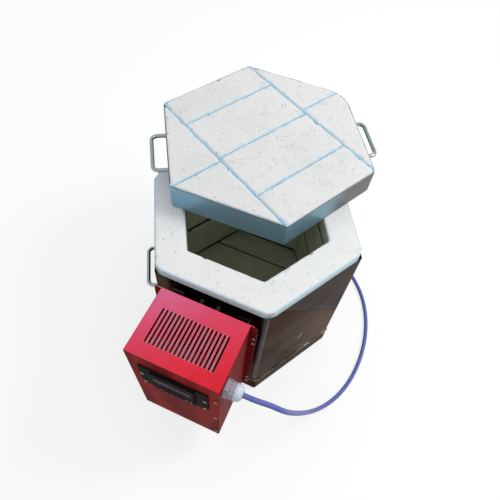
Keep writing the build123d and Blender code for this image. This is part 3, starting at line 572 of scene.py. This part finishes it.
# %% [markdown]
# ## Red powder coat
# The box is powder-coated sheet: a strong red under a soft gloss, with the fine orange-peel of
# powder that melted and set, a cell pattern of about 1.5 mm in the bump only. Light and shade are
# painted into the red: the upright faces are painted shade, a darker red than the top, with darker
# and lighter upright stripes on the front; a painted pink sheen lies on the top; the bars between the
# vent slots have a painted pinkish highlight; and inside the box the red is painted brighter, so that
# the slots read dark red.

# %% Paint finish
paint = Finish("red_paint")
dust = paint.noise(480, 3).step(0.62, 0.74)
cloud = paint.noise(12, 3)
x, y, z = paint.axes()
# Painted shade: the upright faces are a darker red than the top, and the front has upright stripes.
bands = paint.noise(16, 2, 0.5, paint.stretched(1.0, 1.0, 0.12))
front = bands.step(0.42, 0.6).mix((0.2, 0.012, 0.01), (0.33, 0.024, 0.02))
shaded_upright = x.step(0.093, 0.0938).mix(front, (0.19, 0.012, 0.013))
top = cloud.step(0.3, 0.7).mix((0.62, 0.021, 0.036), (0.68, 0.027, 0.044))
# Painted sheen: a pink veil over the far left of the top.
painted_sheen = (x.step(0.1, -0.12) + 0.08 * cloud + y.step(-0.385, -0.215)) * 0.5
top = (painted_sheen * painted_sheen * 0.62).mix(top, (0.58, 0.2, 0.39))
# Painted highlight: the bars between the vent slots are pinker and duller, unevenly.
bar_highlight = abs(x).step(0.0704, 0.069) * abs(y + 0.305).step(0.0372, 0.036)
patchy = paint.noise(34, 4, 0.65).step(0.4, 0.62)
top = (bar_highlight * (0.45 + 0.35 * patchy)).mix(top, (0.46, 0.16, 0.2))
top = (dust * 0.1).mix(top, (0.75, 0.35, 0.36))
# The lit top and the painted shade of the uprights.
colour = z.step(0.4225, 0.4237).mix(shaded_upright, top)
# Painted light: inside the box the red is brighter, so that the slots read dark red, not black.
inside = abs(x).step(0.093, 0.0926) * z.step(0.4229, 0.4223)
inside = inside * y.step(-0.3674, -0.3668) * y.step(-0.2336, -0.234)
paint.surface(
    Base_Color=inside.mix(colour, (0.95, 0.012, 0.045)),
    Roughness=0.34 + 0.08 * cloud,
    IOR=1.03,
    Normal=paint.cells(620, feature="SMOOTH_F1").bump(0.00025, 0.35),
)
print("paint ready")

# %% [markdown]
# ## Plastics, rubber and ceramic
# Moulded plastic differs from part to part in colour, in shine, and in how coarse and deep its
# texture is. The gland's ribbed part is dull and greyer, its dome whiter, with painted shade between.

# %% Moulded finishes
moulded = {
    "black_plastic": ((0.012, 0.006, 0.007), 0.4, 900, 0.00008, 0.12, 1.03),
    "display": ((0.03, 0.03, 0.032), 0.12, 300, 0.00001, 0.12, 1.05),
    "key_plastic": ((0.03, 0.028, 0.03), 0.45, 900, 0.00008, 0.12, 1.05),
    "lamp_plastic": ((0.3, 0.03, 0.02), 0.15, 300, 0.00001, 0.12, 1.5),
    "grey_plastic": ((0.05, 0.045, 0.045), 0.5, 900, 0.00008, 0.12, 1.1),
    "seal_rubber": ((0.24, 0.23, 0.27), 0.6, 900, 0.00008, 0.12, 1.5),
    "plug_rubber": ((0.018, 0.018, 0.02), 0.55, 500, 0.0001, 0.12, 1.5),
    "cable_rubber": ((0.115, 0.14, 0.43), 0.42, 260, 0.00015, 0.1, 1.25),
    # Painted shade: the bushings in the gap behind the box are dark brown.
    "bushing_ceramic": ((0.075, 0.06, 0.055), 0.5, 700, 0.0001, 0.12, 1.2),
}


def moulded_surface(plastic, tone, rough, grain, relief, index=1.5):
    """Spark-eroded moulds leave a fine texture, which also varies the shine."""
    texture = plastic.noise(grain, 3, 0.6)
    rough = rough + 0.12 * (texture - 0.5)
    plastic.surface(Base_Color=tone, Roughness=rough, IOR=index, Normal=texture.bump(relief, 0.6))


for name, (colour, rough, grain, relief, spread, index) in moulded.items():
    plastic = Finish(name)
    darker = tuple(c * (1 - spread) for c in colour)
    lighter = tuple(c * (1 + spread) + 0.004 for c in colour)
    moulded_surface(plastic, plastic.cloudy(40, darker, lighter), rough, grain, relief, index)

gland = Finish("gland_plastic")
x, y, z = gland.axes()
body_tone = gland.cloudy(90, (0.27, 0.23, 0.28), (0.42, 0.38, 0.44))
dome_tone = gland.cloudy(40, (0.5, 0.57, 0.66), (0.62, 0.69, 0.78))
colour = x.step(0.112, 0.1136).mix(body_tone, dome_tone)
# Painted shade: the gap between the gland's body and its dome is darker.
groove = abs(x - 0.113).step(0.001, 0.0004)
moulded_surface(gland, (groove * 0.6).mix(colour, (0.09, 0.09, 0.12)), 0.35, 700, 0.00008)
print("finishes", len(finishes))

# %% [markdown]
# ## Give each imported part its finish
# The record says which material slot each part has, so each part is painted by its slot. Three have
# a look of their own.

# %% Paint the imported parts
paint_of = {part["node"]: part["material_slot"] for part in frame["record"]["subparts"]}
# Painted shade: the box's brackets, in the gap behind it, take the dark tray steel.
paint_of |= {"box_brackets": "tray_steel", "hearth_joints": "burnt_cement", "lid_bricks": "lid_brick"}
for name, part in nodes.items():
    for slot in part.material_slots:
        slot.material = finishes[paint_of[name]]
cable.data.materials.append(finishes["cable_rubber"])
print("painted", sum(1 for part in nodes.values() if part.material_slots))

# %% [markdown]
# ## Worn bricks
# Firebrick is so soft that a fingernail marks it: sawn edges crumble, corners round off and small
# chips fall out. Each packed brick is copied and turned into an even net of small squares by a voxel
# remesh. Smoothing moves its edges but not its flat faces, so blending towards a smoothed copy by an
# uneven amount wears the edges and leaves the faces true.

# %% Uneven amounts
def patches(points, size, seed):
    """Smooth noise from 0 to 1 whose patches are about size across. Each corner of a cell has a
    number from 0 to 1, the same on every run, and a point takes a share of each."""
    place = points / size
    cell = np.floor(place).astype(np.int64)
    share = place - cell
    share = share * share * (3 - 2 * share)
    total = np.zeros(len(points))
    for corner in np.ndindex(2, 2, 2):
        x, y, z = (cell + corner).T
        mixed = (x * 73856093) ^ (y * 19349663) ^ (z * 83492791) ^ (seed * 2654435761)
        mixed = (mixed ^ (mixed >> 13)) * 1274126177
        number = ((mixed ^ (mixed >> 16)) & 0xFFFF) / 65535
        total += np.prod(np.where(corner, share, 1 - share), axis=1) * number
    return total


print("patches", patches(np.array([[0.1, 0.2, 0.3]]), 0.01, 1).round(3))


# %% Meshes from shapes
def finished(piece):
    """The piece with its modifiers applied, as a plain mesh object."""
    graph = bpy.context.evaluated_depsgraph_get()
    mesh = bpy.data.meshes.new_from_object(piece.evaluated_get(graph))
    name = piece.name
    bpy.data.batch_remove([piece, piece.data])
    mesh.name = name
    return as_object(name, mesh)


def shaped(name, shape):
    """The shape as a mesh object, with its faces turned outwards."""
    bmesh.ops.recalc_face_normals(shape, faces=shape.faces)
    mesh = bpy.data.meshes.new(name)
    shape.to_mesh(mesh)
    shape.free()
    return as_object(name, mesh)


def skinned(name, *solids, capped=True):
    """Solids in one mesh object. A solid is a row of rings of points, with faces between a ring and
    the next. A ring may be a single point."""
    shape = bmesh.new()
    for rings in solids:
        rings = [[shape.verts.new(place) for place in ring] for ring in rings]
        sides = max(len(ring) for ring in rings)
        for low, high in zip(rings, rings[1:]):
            for i in range(sides):
                j = (i + 1) % sides
                corners = [low[i % len(low)], low[j % len(low)], high[j % len(high)], high[i % len(high)]]
                corners = list(dict.fromkeys(corners))
                if len(corners) > 2:
                    shape.faces.new(corners)
        if capped:
            shape.faces.new(rings[-1])
            shape.faces.new(rings[0][::-1])
    bmesh.ops.remove_doubles(shape, verts=shape.verts, dist=1e-7)
    return shaped(name, shape)


def keep(piece, body, slot, *replaced, finish=None, sharp=None):
    """The piece rides on the body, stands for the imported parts, and takes that slot's finish. Only
    edges that bend by more than sharp, in degrees, look sharp."""
    if sharp:
        piece.data.shade_smooth()
        piece.data.set_sharp_from_angle(angle=radians(sharp))
    if not piece.data.materials:
        piece.data.materials.append(finishes[finish or slot])
    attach(piece, body)
    if replaced:
        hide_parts(*replaced)
    print(piece.name, "faces", len(piece.data.polygons))
    return piece


def merged(node):
    """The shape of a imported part, with its points joined."""
    whole = bmesh.new()
    whole.from_mesh(nodes[node].data)
    bmesh.ops.remove_doubles(whole, verts=whole.verts, dist=1e-6)
    whole.verts.ensure_lookup_table()
    return whole


def separate_solids(node):
    """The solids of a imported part, each as a shape of its own."""
    whole = merged(node)
    group = {}
    for start in whole.verts:
        stack = [start]
        while stack:
            corner = stack.pop()
            if corner.index not in group:
                group[corner.index] = start.index
                stack += [end for edge in corner.link_edges for end in edge.verts]
    solids = []
    for label in sorted(set(group.values())):
        single = whole.copy()
        single.verts.ensure_lookup_table()
        others = [v for v in single.verts if group[v.index] != label]
        bmesh.ops.delete(single, geom=others, context="VERTS")
        solids.append(single)
    whole.free()
    return solids


print("lid bricks", len(separate_solids("lid_bricks")))


# %% Wear
def numbers(collection, name, kind=float, width=3):
    """One property of every item of a mesh collection, as rows."""
    found = np.zeros(len(collection) * width, dtype=kind)
    collection.foreach_get(name, found)
    return found.reshape(-1, width)


def smoothed(points, edges, rounds=5):
    """Each point moves to the middle of its neighbours, a few times over."""
    first, second = edges[:, 0], edges[:, 1]
    number = np.bincount(edges.ravel(), minlength=len(points))[:, None]
    for _ in range(rounds):
        total = np.zeros_like(points)
        np.add.at(total, first, points[second])
        np.add.at(total, second, points[first])
        points = total / number
    return points


corner_ways = directions(60 + lid_yaw)
corner_radius = 0.07
corner_centre = lid_middle + corner_ways[0] * ((lid_apothem - corner_radius) / cos30)


def rounded_corner(points):
    """One corner of the lid was rasped round. A sixth of a turn about a centre inside the corner
    goes from flat side to flat side, and a point in it moves inwards until it lies on an arc."""
    local = points - corner_centre
    along, across = local @ corner_ways[0], local @ corner_ways[1]
    angle = np.abs(np.arctan2(across, along))
    shrink = np.where(angle < pi / 6, np.cos(pi / 6 - angle), 1.0)
    points[:, :2] = (local * shrink[:, None] + corner_centre)[:, :2]
    return points


def worn(name, node, voxel, rounding, chips, seed, joint=None):
    """A worn copy of a packed brick part, in one mesh. Only the lid's bricks name their joint: each
    point of them keeps how far it is from the cement, for the finish to use."""
    joined = bmesh.new()
    for solid in separate_solids(node):
        block = shaped("brick", solid)
        net = block.modifiers.new("net", "REMESH")
        net.mode = "VOXEL"
        net.voxel_size = voxel
        block = finished(block)
        points = numbers(block.data.vertices, "co")
        pull = smoothed(points, numbers(block.data.edges, "vertices", np.int32, 2)) - points
        wear = rounding * (0.35 + 0.9 * patches(points, 0.022, seed))
        knocks = np.clip((patches(points, 0.011, seed + 7) - 0.7) / 0.12, 0, 1)
        knocks *= np.clip((patches(points, 0.05, seed + 9) - 0.45) / 0.2, 0, 1)
        points = points + pull * (wear + chips * knocks)[:, None]
        if joint:
            points = rounded_corner(points)
        block.data.vertices.foreach_set("co", points.ravel())
        joined.from_mesh(block.data)
        bpy.data.batch_remove([block, block.data])
        seed += 1
    piece = shaped(name, joined)
    mesh = piece.data
    mesh.shade_smooth()
    if joint:
        cement = nodes[joint].data
        tree = BVHTree.FromPolygons([v.co for v in cement.vertices], [p.vertices for p in cement.polygons])
        seam = mesh.attributes.new("seam", "FLOAT", "POINT")
        seam.data.foreach_set("value", [tree.find_nearest(v.co)[3] for v in mesh.vertices])
    body, finish = ("lid", "lid_brick") if joint else ("kiln", "brick")
    keep(piece, body, "brick", node, finish=finish)


worn("lid_worn_bricks", "lid_bricks", 0.0028, 0.8, 2.2, 11, "lid_joints")
worn("rim_worn_bricks", "rim_bricks", 0.0023, 1.0, 2.6, 31)
worn("upper_wall_worn_bricks", "upper_wall_bricks", 0.0034, 0.6, 1.2, 51)
worn("lower_wall_worn_bricks", "lower_wall_bricks", 0.0034, 0.6, 1.2, 71)
worn("hearth_worn_bricks", "hearth_bricks", 0.0034, 0.5, 1.0, 91)

# %% [markdown]
# The steel band and the cement follow the rounded corner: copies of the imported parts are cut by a
# fan of upright planes there, to have edges where they bend, and moved by the same rule as the
# bricks. At the other corners the bricks are cut off and the band is bent round, and cement fills
# what is between.

# %% Band and cement of the lid
for name, node, slot in (
    ("lid_band_sheet", "lid_band", "band_steel"),
    ("lid_cement", "lid_joints", "cement"),
):
    shape = merged(node)
    for degrees in range(-30, 31, 6):
        side = directions(60 + lid_yaw + degrees)[1]
        whole = [*shape.verts, *shape.edges, *shape.faces]
        bmesh.ops.bisect_plane(shape, geom=whole, plane_co=corner_centre, plane_no=side)
    piece = shaped(name, shape)
    points = rounded_corner(numbers(piece.data.vertices, "co"))
    piece.data.vertices.foreach_set("co", points.ravel())
    keep(piece, "lid", slot, node, sharp=20)

# %% Cement in the lid's corners
bend_centre, bend_radius = 0.24399, 0.0039
outline = [(0.24526, 0.0052), (0.24526, -0.0052)]
for degrees in range(-30, 31, 10):
    bend = radians(degrees)
    outline.append((bend_centre + bend_radius * cos(bend), bend_radius * sin(bend)))
fills = []
for turn in (0, 120, 180, 240, 300):
    out, along = directions(turn + lid_yaw)
    ring = [lid_middle + out * a + along * b for a, b in outline]
    fills.append([[(place.x, place.y, height) for place in ring] for height in (0.4425, 0.5034)])
keep(skinned("lid_corner_cement", *fills), "lid", "cement")

# %% [markdown]
# ## Heating elements
# An element is a long spring of resistance wire in a groove, with two thicker straight tails that
# pass out through the front wall. Geometry Nodes wind the spring: the groove's line is cut into even
# steps, each step is turned a little further round it, and a small ring is swept along the result.

# %% Tools for Geometry Nodes
class Tree(Recipe):
    """A Geometry Nodes tree with named inputs, ready to be used as a modifier."""

    prefix = "GeometryNode"

    def __init__(self, name, **inputs):
        self.group = bpy.data.node_groups.new(name, "GeometryNodeTree")
        super().__init__(self.group)
        sockets = self.group.interface
        for label, value in {"Geometry": "Geometry", "Material": "Material", **inputs}.items():
            kind = value if isinstance(value, str) else type(value).__name__.capitalize()
            label = label.replace("_", " ")
            socket = sockets.new_socket(label, in_out="INPUT", socket_type="NodeSocket" + kind)
            if kind != value:
                socket.default_value = value
        sockets.new_socket("Geometry", in_out="OUTPUT", socket_type="NodeSocketGeometry")
        self.given = self.node("NodeGroupInput")

    def close(self, geometry):
        """Realize the instances, set the material, and end the tree."""
        real = self.node("RealizeInstances", {"Geometry": geometry})
        painted = self.node("SetMaterial", {"Geometry": real, "Material": self.given["Material"]})
        self.node("NodeGroupOutput", {0: painted})
        print(self.group.name, "nodes", len(self.group.nodes))

    def sweep(self, path, sides, radius):
        """A solid round bar along the path."""
        ring = self.node("CurvePrimitiveCircle", {"Resolution": sides, "Radius": radius})
        return self.node("CurveToMesh", {"Curve": path, "Profile Curve": ring, "Fill Caps": True})

    def run(self, name, start, body, slot, *replaced, **values):
        """The tree's result on the object start is kept as a plain mesh piece."""
        modifier = start.modifiers.new("tree", "NODES")
        modifier.node_group = self.group
        values["Material"] = finishes[slot]
        for socket in self.group.interface.items_tree:
            value = values.get(socket.name.replace(" ", "_"))
            if value is not None:
                modifier[socket.identifier] = value
        start.name = name
        keep(finished(start), body, slot, *replaced, sharp=35)


print("tree tools ready")

# %% The spring winder
steps_per_turn = 9
winder = Tree("spring_winder", Coil_Radius=0.0032, Wire_Radius=0.0008, Pitch=0.0034, Corner_Radius=0.012)
given = winder.given
values = {"Curve": given["Geometry"], "Count": 6, "Radius": given["Corner Radius"]}
path = winder.node("FilletCurve", values, mode="POLY")
length = winder.node("CurveLength", {0: path})
count = length / given["Pitch"] * steps_per_turn
even = winder.node("ResampleCurve", {"Curve": path, "Count": count})
level = winder.node("SetCurveNormal", {"Curve": even}, mode="Z_UP")
angle = winder.node("InputIndex") * (2 * pi / steps_per_turn)
side = winder.node("InputNormal")
ahead = winder.node("InputTangent")
up = winder.vector("CROSS_PRODUCT", ahead, side)
across = winder.vector("SCALE", side, Scale=angle.cosine() * given["Coil Radius"])
upwards = winder.vector("SCALE", up, Scale=angle.sine() * given["Coil Radius"])
offset = winder.vector("ADD", across, upwards)
spring = winder.node("SetPosition", {"Geometry": level, "Offset": offset})
winder.close(winder.sweep(spring, 5, given["Wire Radius"]))

# %% The bar bender
bender = Tree("bar_bender", Bar_Radius=0.0045, Bend_Radius=0.013, Bend_Steps=12, Sides=32)
given = bender.given
values = {"Curve": given["Geometry"], "Count": given["Bend Steps"], "Radius": given["Bend Radius"]}
path = bender.node("FilletCurve", {**values, "Limit Radius": True}, mode="POLY")
bender.close(bender.sweep(path, given["Sides"], given["Bar Radius"]))

# %% Wind the elements
course_floors = {"lower": 0.137, "middle": 0.262, "upper": 0.387}
element_apothem = 0.152
tail_end = -0.273
tail_sizes = {"Bar_Radius": 0.002, "Bend_Radius": 0.006, "Sides": 12}
element_corners = [directions(a)[0] * (element_apothem / cos30) for a in (-60, 0, 60, 120, 180, 240)]
for name, floor_height in course_floors.items():
    height = floor_height + 0.0043
    line = [(corner.x, corner.y, height) for corner in element_corners]
    line = [(0.022, -element_apothem, height), *line, (-0.022, -element_apothem, height)]
    winder.run(f"{name}_element_coil", curve_object([line]), "kiln", "element_wire", f"{name}_element")
    height = floor_height + 0.0046
    bends = (0.034, -element_apothem), (0.018, -element_apothem), (0.018, tail_end)
    start = curve_object([[(side * x, y, height) for x, y in bends] for side in (-1, 1)])
    bender.run(f"{name}_element_tails", start, "kiln", "element_wire", **tail_sizes)

# %% [markdown]
# ## Pull handles
# Each handle is one round bar with two bends, so the bender that made the tails makes the handles
# as well, with more sides because they are seen close up.

# %% Bend the handles
body_side = Vector((0, 0, 0.25)), 0.2101
lid_side = lid_middle, lid_apothem
corners = (-0.052, 0), (-0.052, 0.033), (0.052, 0.033), (0.052, 0)
for name, body, angle, middle, apothem in (
    ("left_body_handle", "kiln", 210, *body_side),
    ("right_body_handle", "kiln", 30, *body_side),
    ("lid_left_handle", "lid", 210 + lid_yaw, *lid_side),
    ("lid_right_handle", "lid", 30 + lid_yaw, *lid_side),
):
    out, along = directions(angle)
    line = [middle + along * a + out * (apothem + b) for a, b in corners]
    bender.run(f"{name}_bar", curve_object([line]), body, "rod_steel", name)

# %% [markdown]
# ## Screws, nuts and rivets
# Each kind is modelled once, and Geometry Nodes put a copy at each place, turned a little
# differently as driven screws are. A pan head is a turned dome with a cross cut out of it, and a
# blind rivet's low dome has the dimple of its broken pin. Heads are drawn one unit wide and high,
# and the tree's named inputs give them their real sizes.

# %% Turned shapes
def turned(name, profile, sides=24):
    """A shape turned on a lathe: the profile is radius and height, from the bottom to the top."""
    rings = []
    for radius, height in profile:
        angles = [2 * pi * i / sides for i in range(sides if radius > 0 else 1)]
        rings.append([(radius * cos(a), radius * sin(a), height) for a in angles])
    return skinned(name, rings, capped=False)


def cut(piece, *tools):
    """The piece with the tools taken out of it."""
    for tool in tools:
        bite = piece.modifiers.new("bite", "BOOLEAN")
        bite.operation = "DIFFERENCE"
        bite.solver = "EXACT"
        bite.object = tool
    made = finished(piece)
    bpy.data.batch_remove(tools)
    return made


dome = [(0, 0), (0.5, 0), (0.5, 0.34), (0.475, 0.58), (0.42, 0.76), (0.33, 0.89), (0.2, 0.97), (0, 1)]
cross = []
for foot, top in (((0.2, 0.05), (0.27, 0.075)), ((0.05, 0.2), (0.075, 0.27))):
    rings = [[(x * a, y * b, height) for x, y in square] for (a, b), height in ((foot, 0.35), (top, 1.2))]
    cross.append(skinned("bar", rings))
pan_head = cut(turned("pan_head", dome, 32), *cross)
dimpled = [(0, 0), (0.5, 0), (0.5, 0.16), (0.42, 0.62), (0.3, 0.9), (0.21, 0.98), (0.18, 0.6), (0, 0.55)]
rivet_head = turned("rivet_head", dimpled, 20)
ridges = [p for i in range(10) for p in ((0.5, -0.97 + 0.095 * i), (0.4, -0.93 + 0.095 * i))]
thread = turned("thread", [(0, -1), (0.36, -1), *ridges, (0.4, 0), (0, 0)], 14)
plain_shank = turned("plain_shank", [(0, -1), (0.46, -1), (0.5, -0.9), (0.5, 0), (0, 0)], 14)
print("pan head faces", len(pan_head.data.polygons))

# %% Nut, one unit across its flats and one high, with worn corners and a bore
blank = turned("nut", [(0, 0), (0.5, 0), (0.577, 0.1), (0.577, 0.88), (0.5, 1), (0, 1)], 48)
for corner in blank.data.vertices:
    angle = np.arctan2(corner.co.y, corner.co.x)
    flat = 0.5 / cos((angle + pi) % (pi / 3) - pi / 6)
    if corner.co.xy.length > flat:
        corner.co.xy *= flat / corner.co.xy.length
nut = cut(blank, turned("bore", [(0, -0.2), (0.34, -0.2), (0.34, 1.2), (0, 1.2)], 24))
print("nut faces", len(nut.data.polygons))

# %% The fixing tree
fixing_inputs = {
    "Head": "Object", "Head_Diameter": 0.008, "Head_Height": 0.0022,
    "Shank": "Object", "Shank_Diameter": 0.004, "Shank_Length": 0.006, "Turn": pi,
}
fixer = Tree("fixing_row", **fixing_inputs)
given = fixer.given
both = []
for what, height in (("Head", "Head Height"), ("Shank", "Shank Length")):
    part = fixer.node("ObjectInfo", {"Object": given[what]}, "Geometry", transform_space="ORIGINAL")
    width = given[f"{what} Diameter"]
    scale = fixer.node("ShaderNodeCombineXYZ", {"X": width, "Y": width, "Z": given[height]})
    both.append(fixer.node("Transform", {"Geometry": part, "Scale": scale}))
whole = fixer.node("JoinGeometry", {0: both})
facing = fixer.node("InputNamedAttribute", {"Name": "facing"}, data_type="FLOAT_VECTOR")
aimed = fixer.node("FunctionNodeAlignRotationToVector", {"Vector": facing}, axis="Z")
chance = fixer.node("FunctionNodeRandomValue", {2: 0.0, 3: given["Turn"], "Seed": 5}, 1, data_type="FLOAT")
twist = fixer.node("FunctionNodeAxisAngleToRotation", {"Axis": (0, 0, 1), "Angle": chance})
values = {"Rotation": aimed, "Rotate By": twist}
turned_round = fixer.node("FunctionNodeRotateRotation", values, rotation_space="LOCAL")
values = {"Points": given["Geometry"], "Instance": whole, "Rotation": turned_round}
fixer.close(fixer.node("InstanceOnPoints", values))


# %% Fixings in their places
def fixings(what, way, places, *sizes, body="kiln", node=None):
    """Fixings of one kind at the places, all facing one way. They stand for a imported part."""
    mesh = bpy.data.meshes.new("places")
    mesh.from_pydata(places, [], [])
    facing = mesh.attributes.new("facing", "FLOAT_VECTOR", "POINT")
    facing.data.foreach_set("vector", list(way) * len(places))
    sizes = dict(zip(fixing_inputs, sizes))
    fixer.run(f"{what}_set", as_object("places", mesh), body, "zinc_steel", node or f"{what}s", **sizes)


forward, backward = (0, -1, 0), (0, 1, 0)
bracket_heights = (0.119, 0.143, 0.3515, 0.3755)


def beside_bracket(x, y):
    return [(side * x, y, z) for side in (-1, 1) for z in bracket_heights]


panel_screws = [(0.0865, -0.369, z) for z in (0.116, 0.236, 0.356)]
plate_screws = [(x, -0.372, z) for x in (-0.0655, 0.0655) for z in (0.339, 0.29)]
jacket_seam = [(0, 0.2109, 0.0825 + 0.0638 * i) for i in range(6)]
lid_back = directions(90 + lid_yaw)[0]
lid_seam = [lid_middle + lid_back * 0.2169 + Vector((0, 0, up)) for up in (-0.016, 0, 0.016)]
screw = (pan_head, 0.008, 0.0022)
rivet = (rivet_head, 0.0075, 0.0012, plain_shank, 0.004)
bracket_screw = (pan_head, 0.009, 0.0028, thread, 0.005, 0.0095)
fixings("bracket_screw", forward, beside_bracket(0.1015, -0.2355), *bracket_screw)
fixings("bracket_nut", backward, beside_bracket(0.1015, -0.231), nut, 0.008, 0.004)
fixings("bracket_rivet", forward, beside_bracket(0.072, -0.2116), *rivet, 0.0023)
fixings("front_panel_screw", forward, panel_screws, *screw, thread, 0.004, 0.006)
fixings("controller_screw", forward, plate_screws, *screw, plain_shank, 0.004, 0.003)
fixings("jacket_rivet", backward, jacket_seam, *rivet, 0.0016)
fixings("lid_rivet", lid_back, lid_seam, *rivet, 0.0016, body="lid", node="lid_band_rivets")
bpy.data.batch_remove([pan_head, rivet_head, thread, plain_shank, nut])

# %% [markdown]
# ## Controller face
# The controller is a standard 144 by 96 plate. Behind its smoked window the seven-segment display
# is dark while the kiln is off: its bars only show slightly lighter. The keys carry small raised
# signs. All of these are thin plates with a sloped edge, drawn as outlines.

# %% Thin plates on the front
def plates(name, outlines, y, height, slope):
    """Thin raised plates on a plane that faces -Y. Each outline is a list of (x, z), anticlockwise."""
    solids = []
    for outline in outlines:
        centre = Vector(np.mean(outline, axis=0))
        rings = []
        for inset, depth in ((0, 0), (0, height * 0.5), (slope, height)):
            ring = []
            for corner in outline:
                away = Vector(corner) - centre
                place = centre + away * (1 - inset / away.length)
                ring.append((place.x, y - depth, place.y))
            rings.append(ring)
        solids.append(rings)
    return skinned(name, *solids)


def digit(x, z, step=0.0046, half=0.0021, side=0.00045, lean=0.12):
    """The seven bars of a digit, all flat with pointed ends, leaning a little to the right."""
    bar = [(-half, 0), (-half + side, -side), (half - side, -side)]
    bar += [(-a, -b) for a, b in bar]
    places = (0, 1), (0.5, 0.5), (0.5, -0.5), (0, -1), (-0.5, -0.5), (-0.5, 0.5), (0, 0)
    bars = []
    for u, v in places:
        placed = [(u * step - b, v * step + a) if u else (a, v * step + b) for a, b in bar]
        bars.append([(x + a + lean * b, z + b) for a, b in placed])
    return bars


print("bars in a digit", len(digit(0, 0)))

# %% Display and key signs
for name, scale, first, second, values in (
    ("segment", 900, (0.045, 0.038, 0.04), (0.07, 0.06, 0.062), {"Roughness": 0.4, "IOR": 1.04}),
    ("sign", 800, (0.5, 0.5, 0.5), (0.62, 0.62, 0.62), {"Roughness": 0.5}),
):
    plain = Finish(name)
    plain.surface(Base_Color=plain.cloudy(scale, first, second, 2), **values)
bars = [bar for i in range(4) for bar in digit(0.011 + (i - 1.5) * 0.0095, 0.344)]
display = plates("display_segments", bars, -0.3763, 0.0001, 0.00002)
keep(display, "kiln", "display", finish="segment")
signs = {
    "down_key": [(-0.0014, 0.0009), (0, -0.0013), (0.0014, 0.0009)],
    "up_key": [(-0.0014, -0.0009), (0.0014, -0.0009), (0, 0.0013)],
    "program_key": [(x * 0.0014, y * 0.0005) for x, y in square],
    "start_key": [(-0.0009, -0.0013), (0.0013, 0), (-0.0009, 0.0013)],
}
for i, (name, outline) in enumerate(signs.items()):
    x = -0.026 + 0.013 * i
    low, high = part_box(name)
    outline = [(x + a, 0.302 + b) for a, b in outline]
    piece = plates(f"{name}_sign", [outline], low.y + 0.00006, 0.0001, 0.0001)
    keep(piece, name, "key_plastic", finish="sign")

# %% [markdown]
# ## Cable gland
# The gland is pale moulded plastic: a hexagon body, a thin washer, and a dome nut that squeezes a
# rubber sleeve round the cable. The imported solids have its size, and turned shapes laid along X add
# the washer's rounded lip and the sleeve's rounded end.

# %% Washer and sleeve
def along_x(piece, way, foot):
    """The turned piece with its foot at the given point and its axis along +X or -X."""
    to_x = Matrix(((0, 0, way), (0, 1, 0), (-way, 0, 0))).to_4x4()
    to_x.translation = foot
    piece.data.transform(to_x)
    return piece


gland_axis = (-0.344, 0.384)
washer = [(0.0126, 0), (0.0178, 0), (0.0182, 0.0005), (0.0182, 0.0013), (0.0178, 0.0018), (0.0126, 0.0018)]
sleeve = [(0.0053, 0), (0.0069, 0), (0.0069, 0.0255), (0.0066, 0.0262), (0.0061, 0.0265), (0.0053, 0.0265)]
for name, start, profile, *replaced in (
    ("gland_washer", 0.094, washer),
    ("gland_sleeve", 0.103, sleeve, "gland_seal"),
):
    piece = along_x(turned(name, [*profile, profile[0]], 40), 1, (start, *gland_axis))
    keep(piece, "kiln", "seal_rubber", *replaced, sharp=35)

# %% [markdown]
# ## Mains plug
# The cable ends in a round moulded plug with two pins. The neck is a taper of ribs that lets the
# cable bend softly, and the body has grip flutes and a groove on each side for the earth clips. Neck
# and body are one turned shape whose radius then changes with the angle round it.

# %% Plug body and pins
plug_height = 0.0188


def ramp(value):
    return max(0, min(1, value))


neck = [(0, 0), (0.0056, 0)]
for i in range(5):
    base, wide = 0.0012 + 0.0046 * i, 0.0062 + 0.0003 * i
    slim = wide - 0.0011
    neck += [(wide, base), (wide, base + 0.0024), (slim, base + 0.003), (slim, base + 0.0042)]
shoulder = [(0.0078, 0.0252), (0.0092, 0.0275), (0.012, 0.0302), (0.015, 0.033), (0.0173, 0.0366)]
barrel = [(0.0185, h) for h in (0.04, *np.linspace(0.0412, 0.0576, 12))]
face = [(0.0183, 0.0588), (0.0175, 0.0597), (0.0168, 0.06), (0, 0.06)]
plug = turned("plug_moulding", neck + shoulder + barrel + face, 96)
for corner in plug.data.vertices:
    angle = np.arctan2(corner.co.y, corner.co.x)
    height = corner.co.z
    grip = min(ramp((height - 0.031) / 0.004), ramp((0.0555 - height) / 0.002))
    flute = 0.0009 * grip * (0.5 - 0.5 * cos(24 * angle)) ** 2
    beside = abs(abs(angle) - pi / 2)
    clip = 0.0024 * ramp((0.16 - beside) / 0.05) * ramp((height - 0.0375) / 0.002)
    reach = corner.co.xy.length
    if reach > 0.012:
        corner.co.xy *= (reach - flute - clip) / reach
keep(along_x(plug, -1, (-0.022, 0.24, plug_height)), "kiln", "plug_rubber", "mains_plug", sharp=40)

pin_profile = [(0, 0), (0.0024, 0), (0.0024, 0.0168), (0.0021, 0.018), (0.0014, 0.0187), (0, 0.019)]
for i, y in enumerate((0.2305, 0.2495)):
    pin = along_x(turned(f"plug_pin_{i + 1}", pin_profile), -1, (-0.082, y, plug_height))
    keep(pin, "kiln", "pin_metal", "plug_pins", sharp=40)

# %% [markdown]
# The photograph shows the cable from the gland to behind the kiln. The rest of its length lies there
# as a small neat coil, with the plug beside it.

print("cable and plug placed")
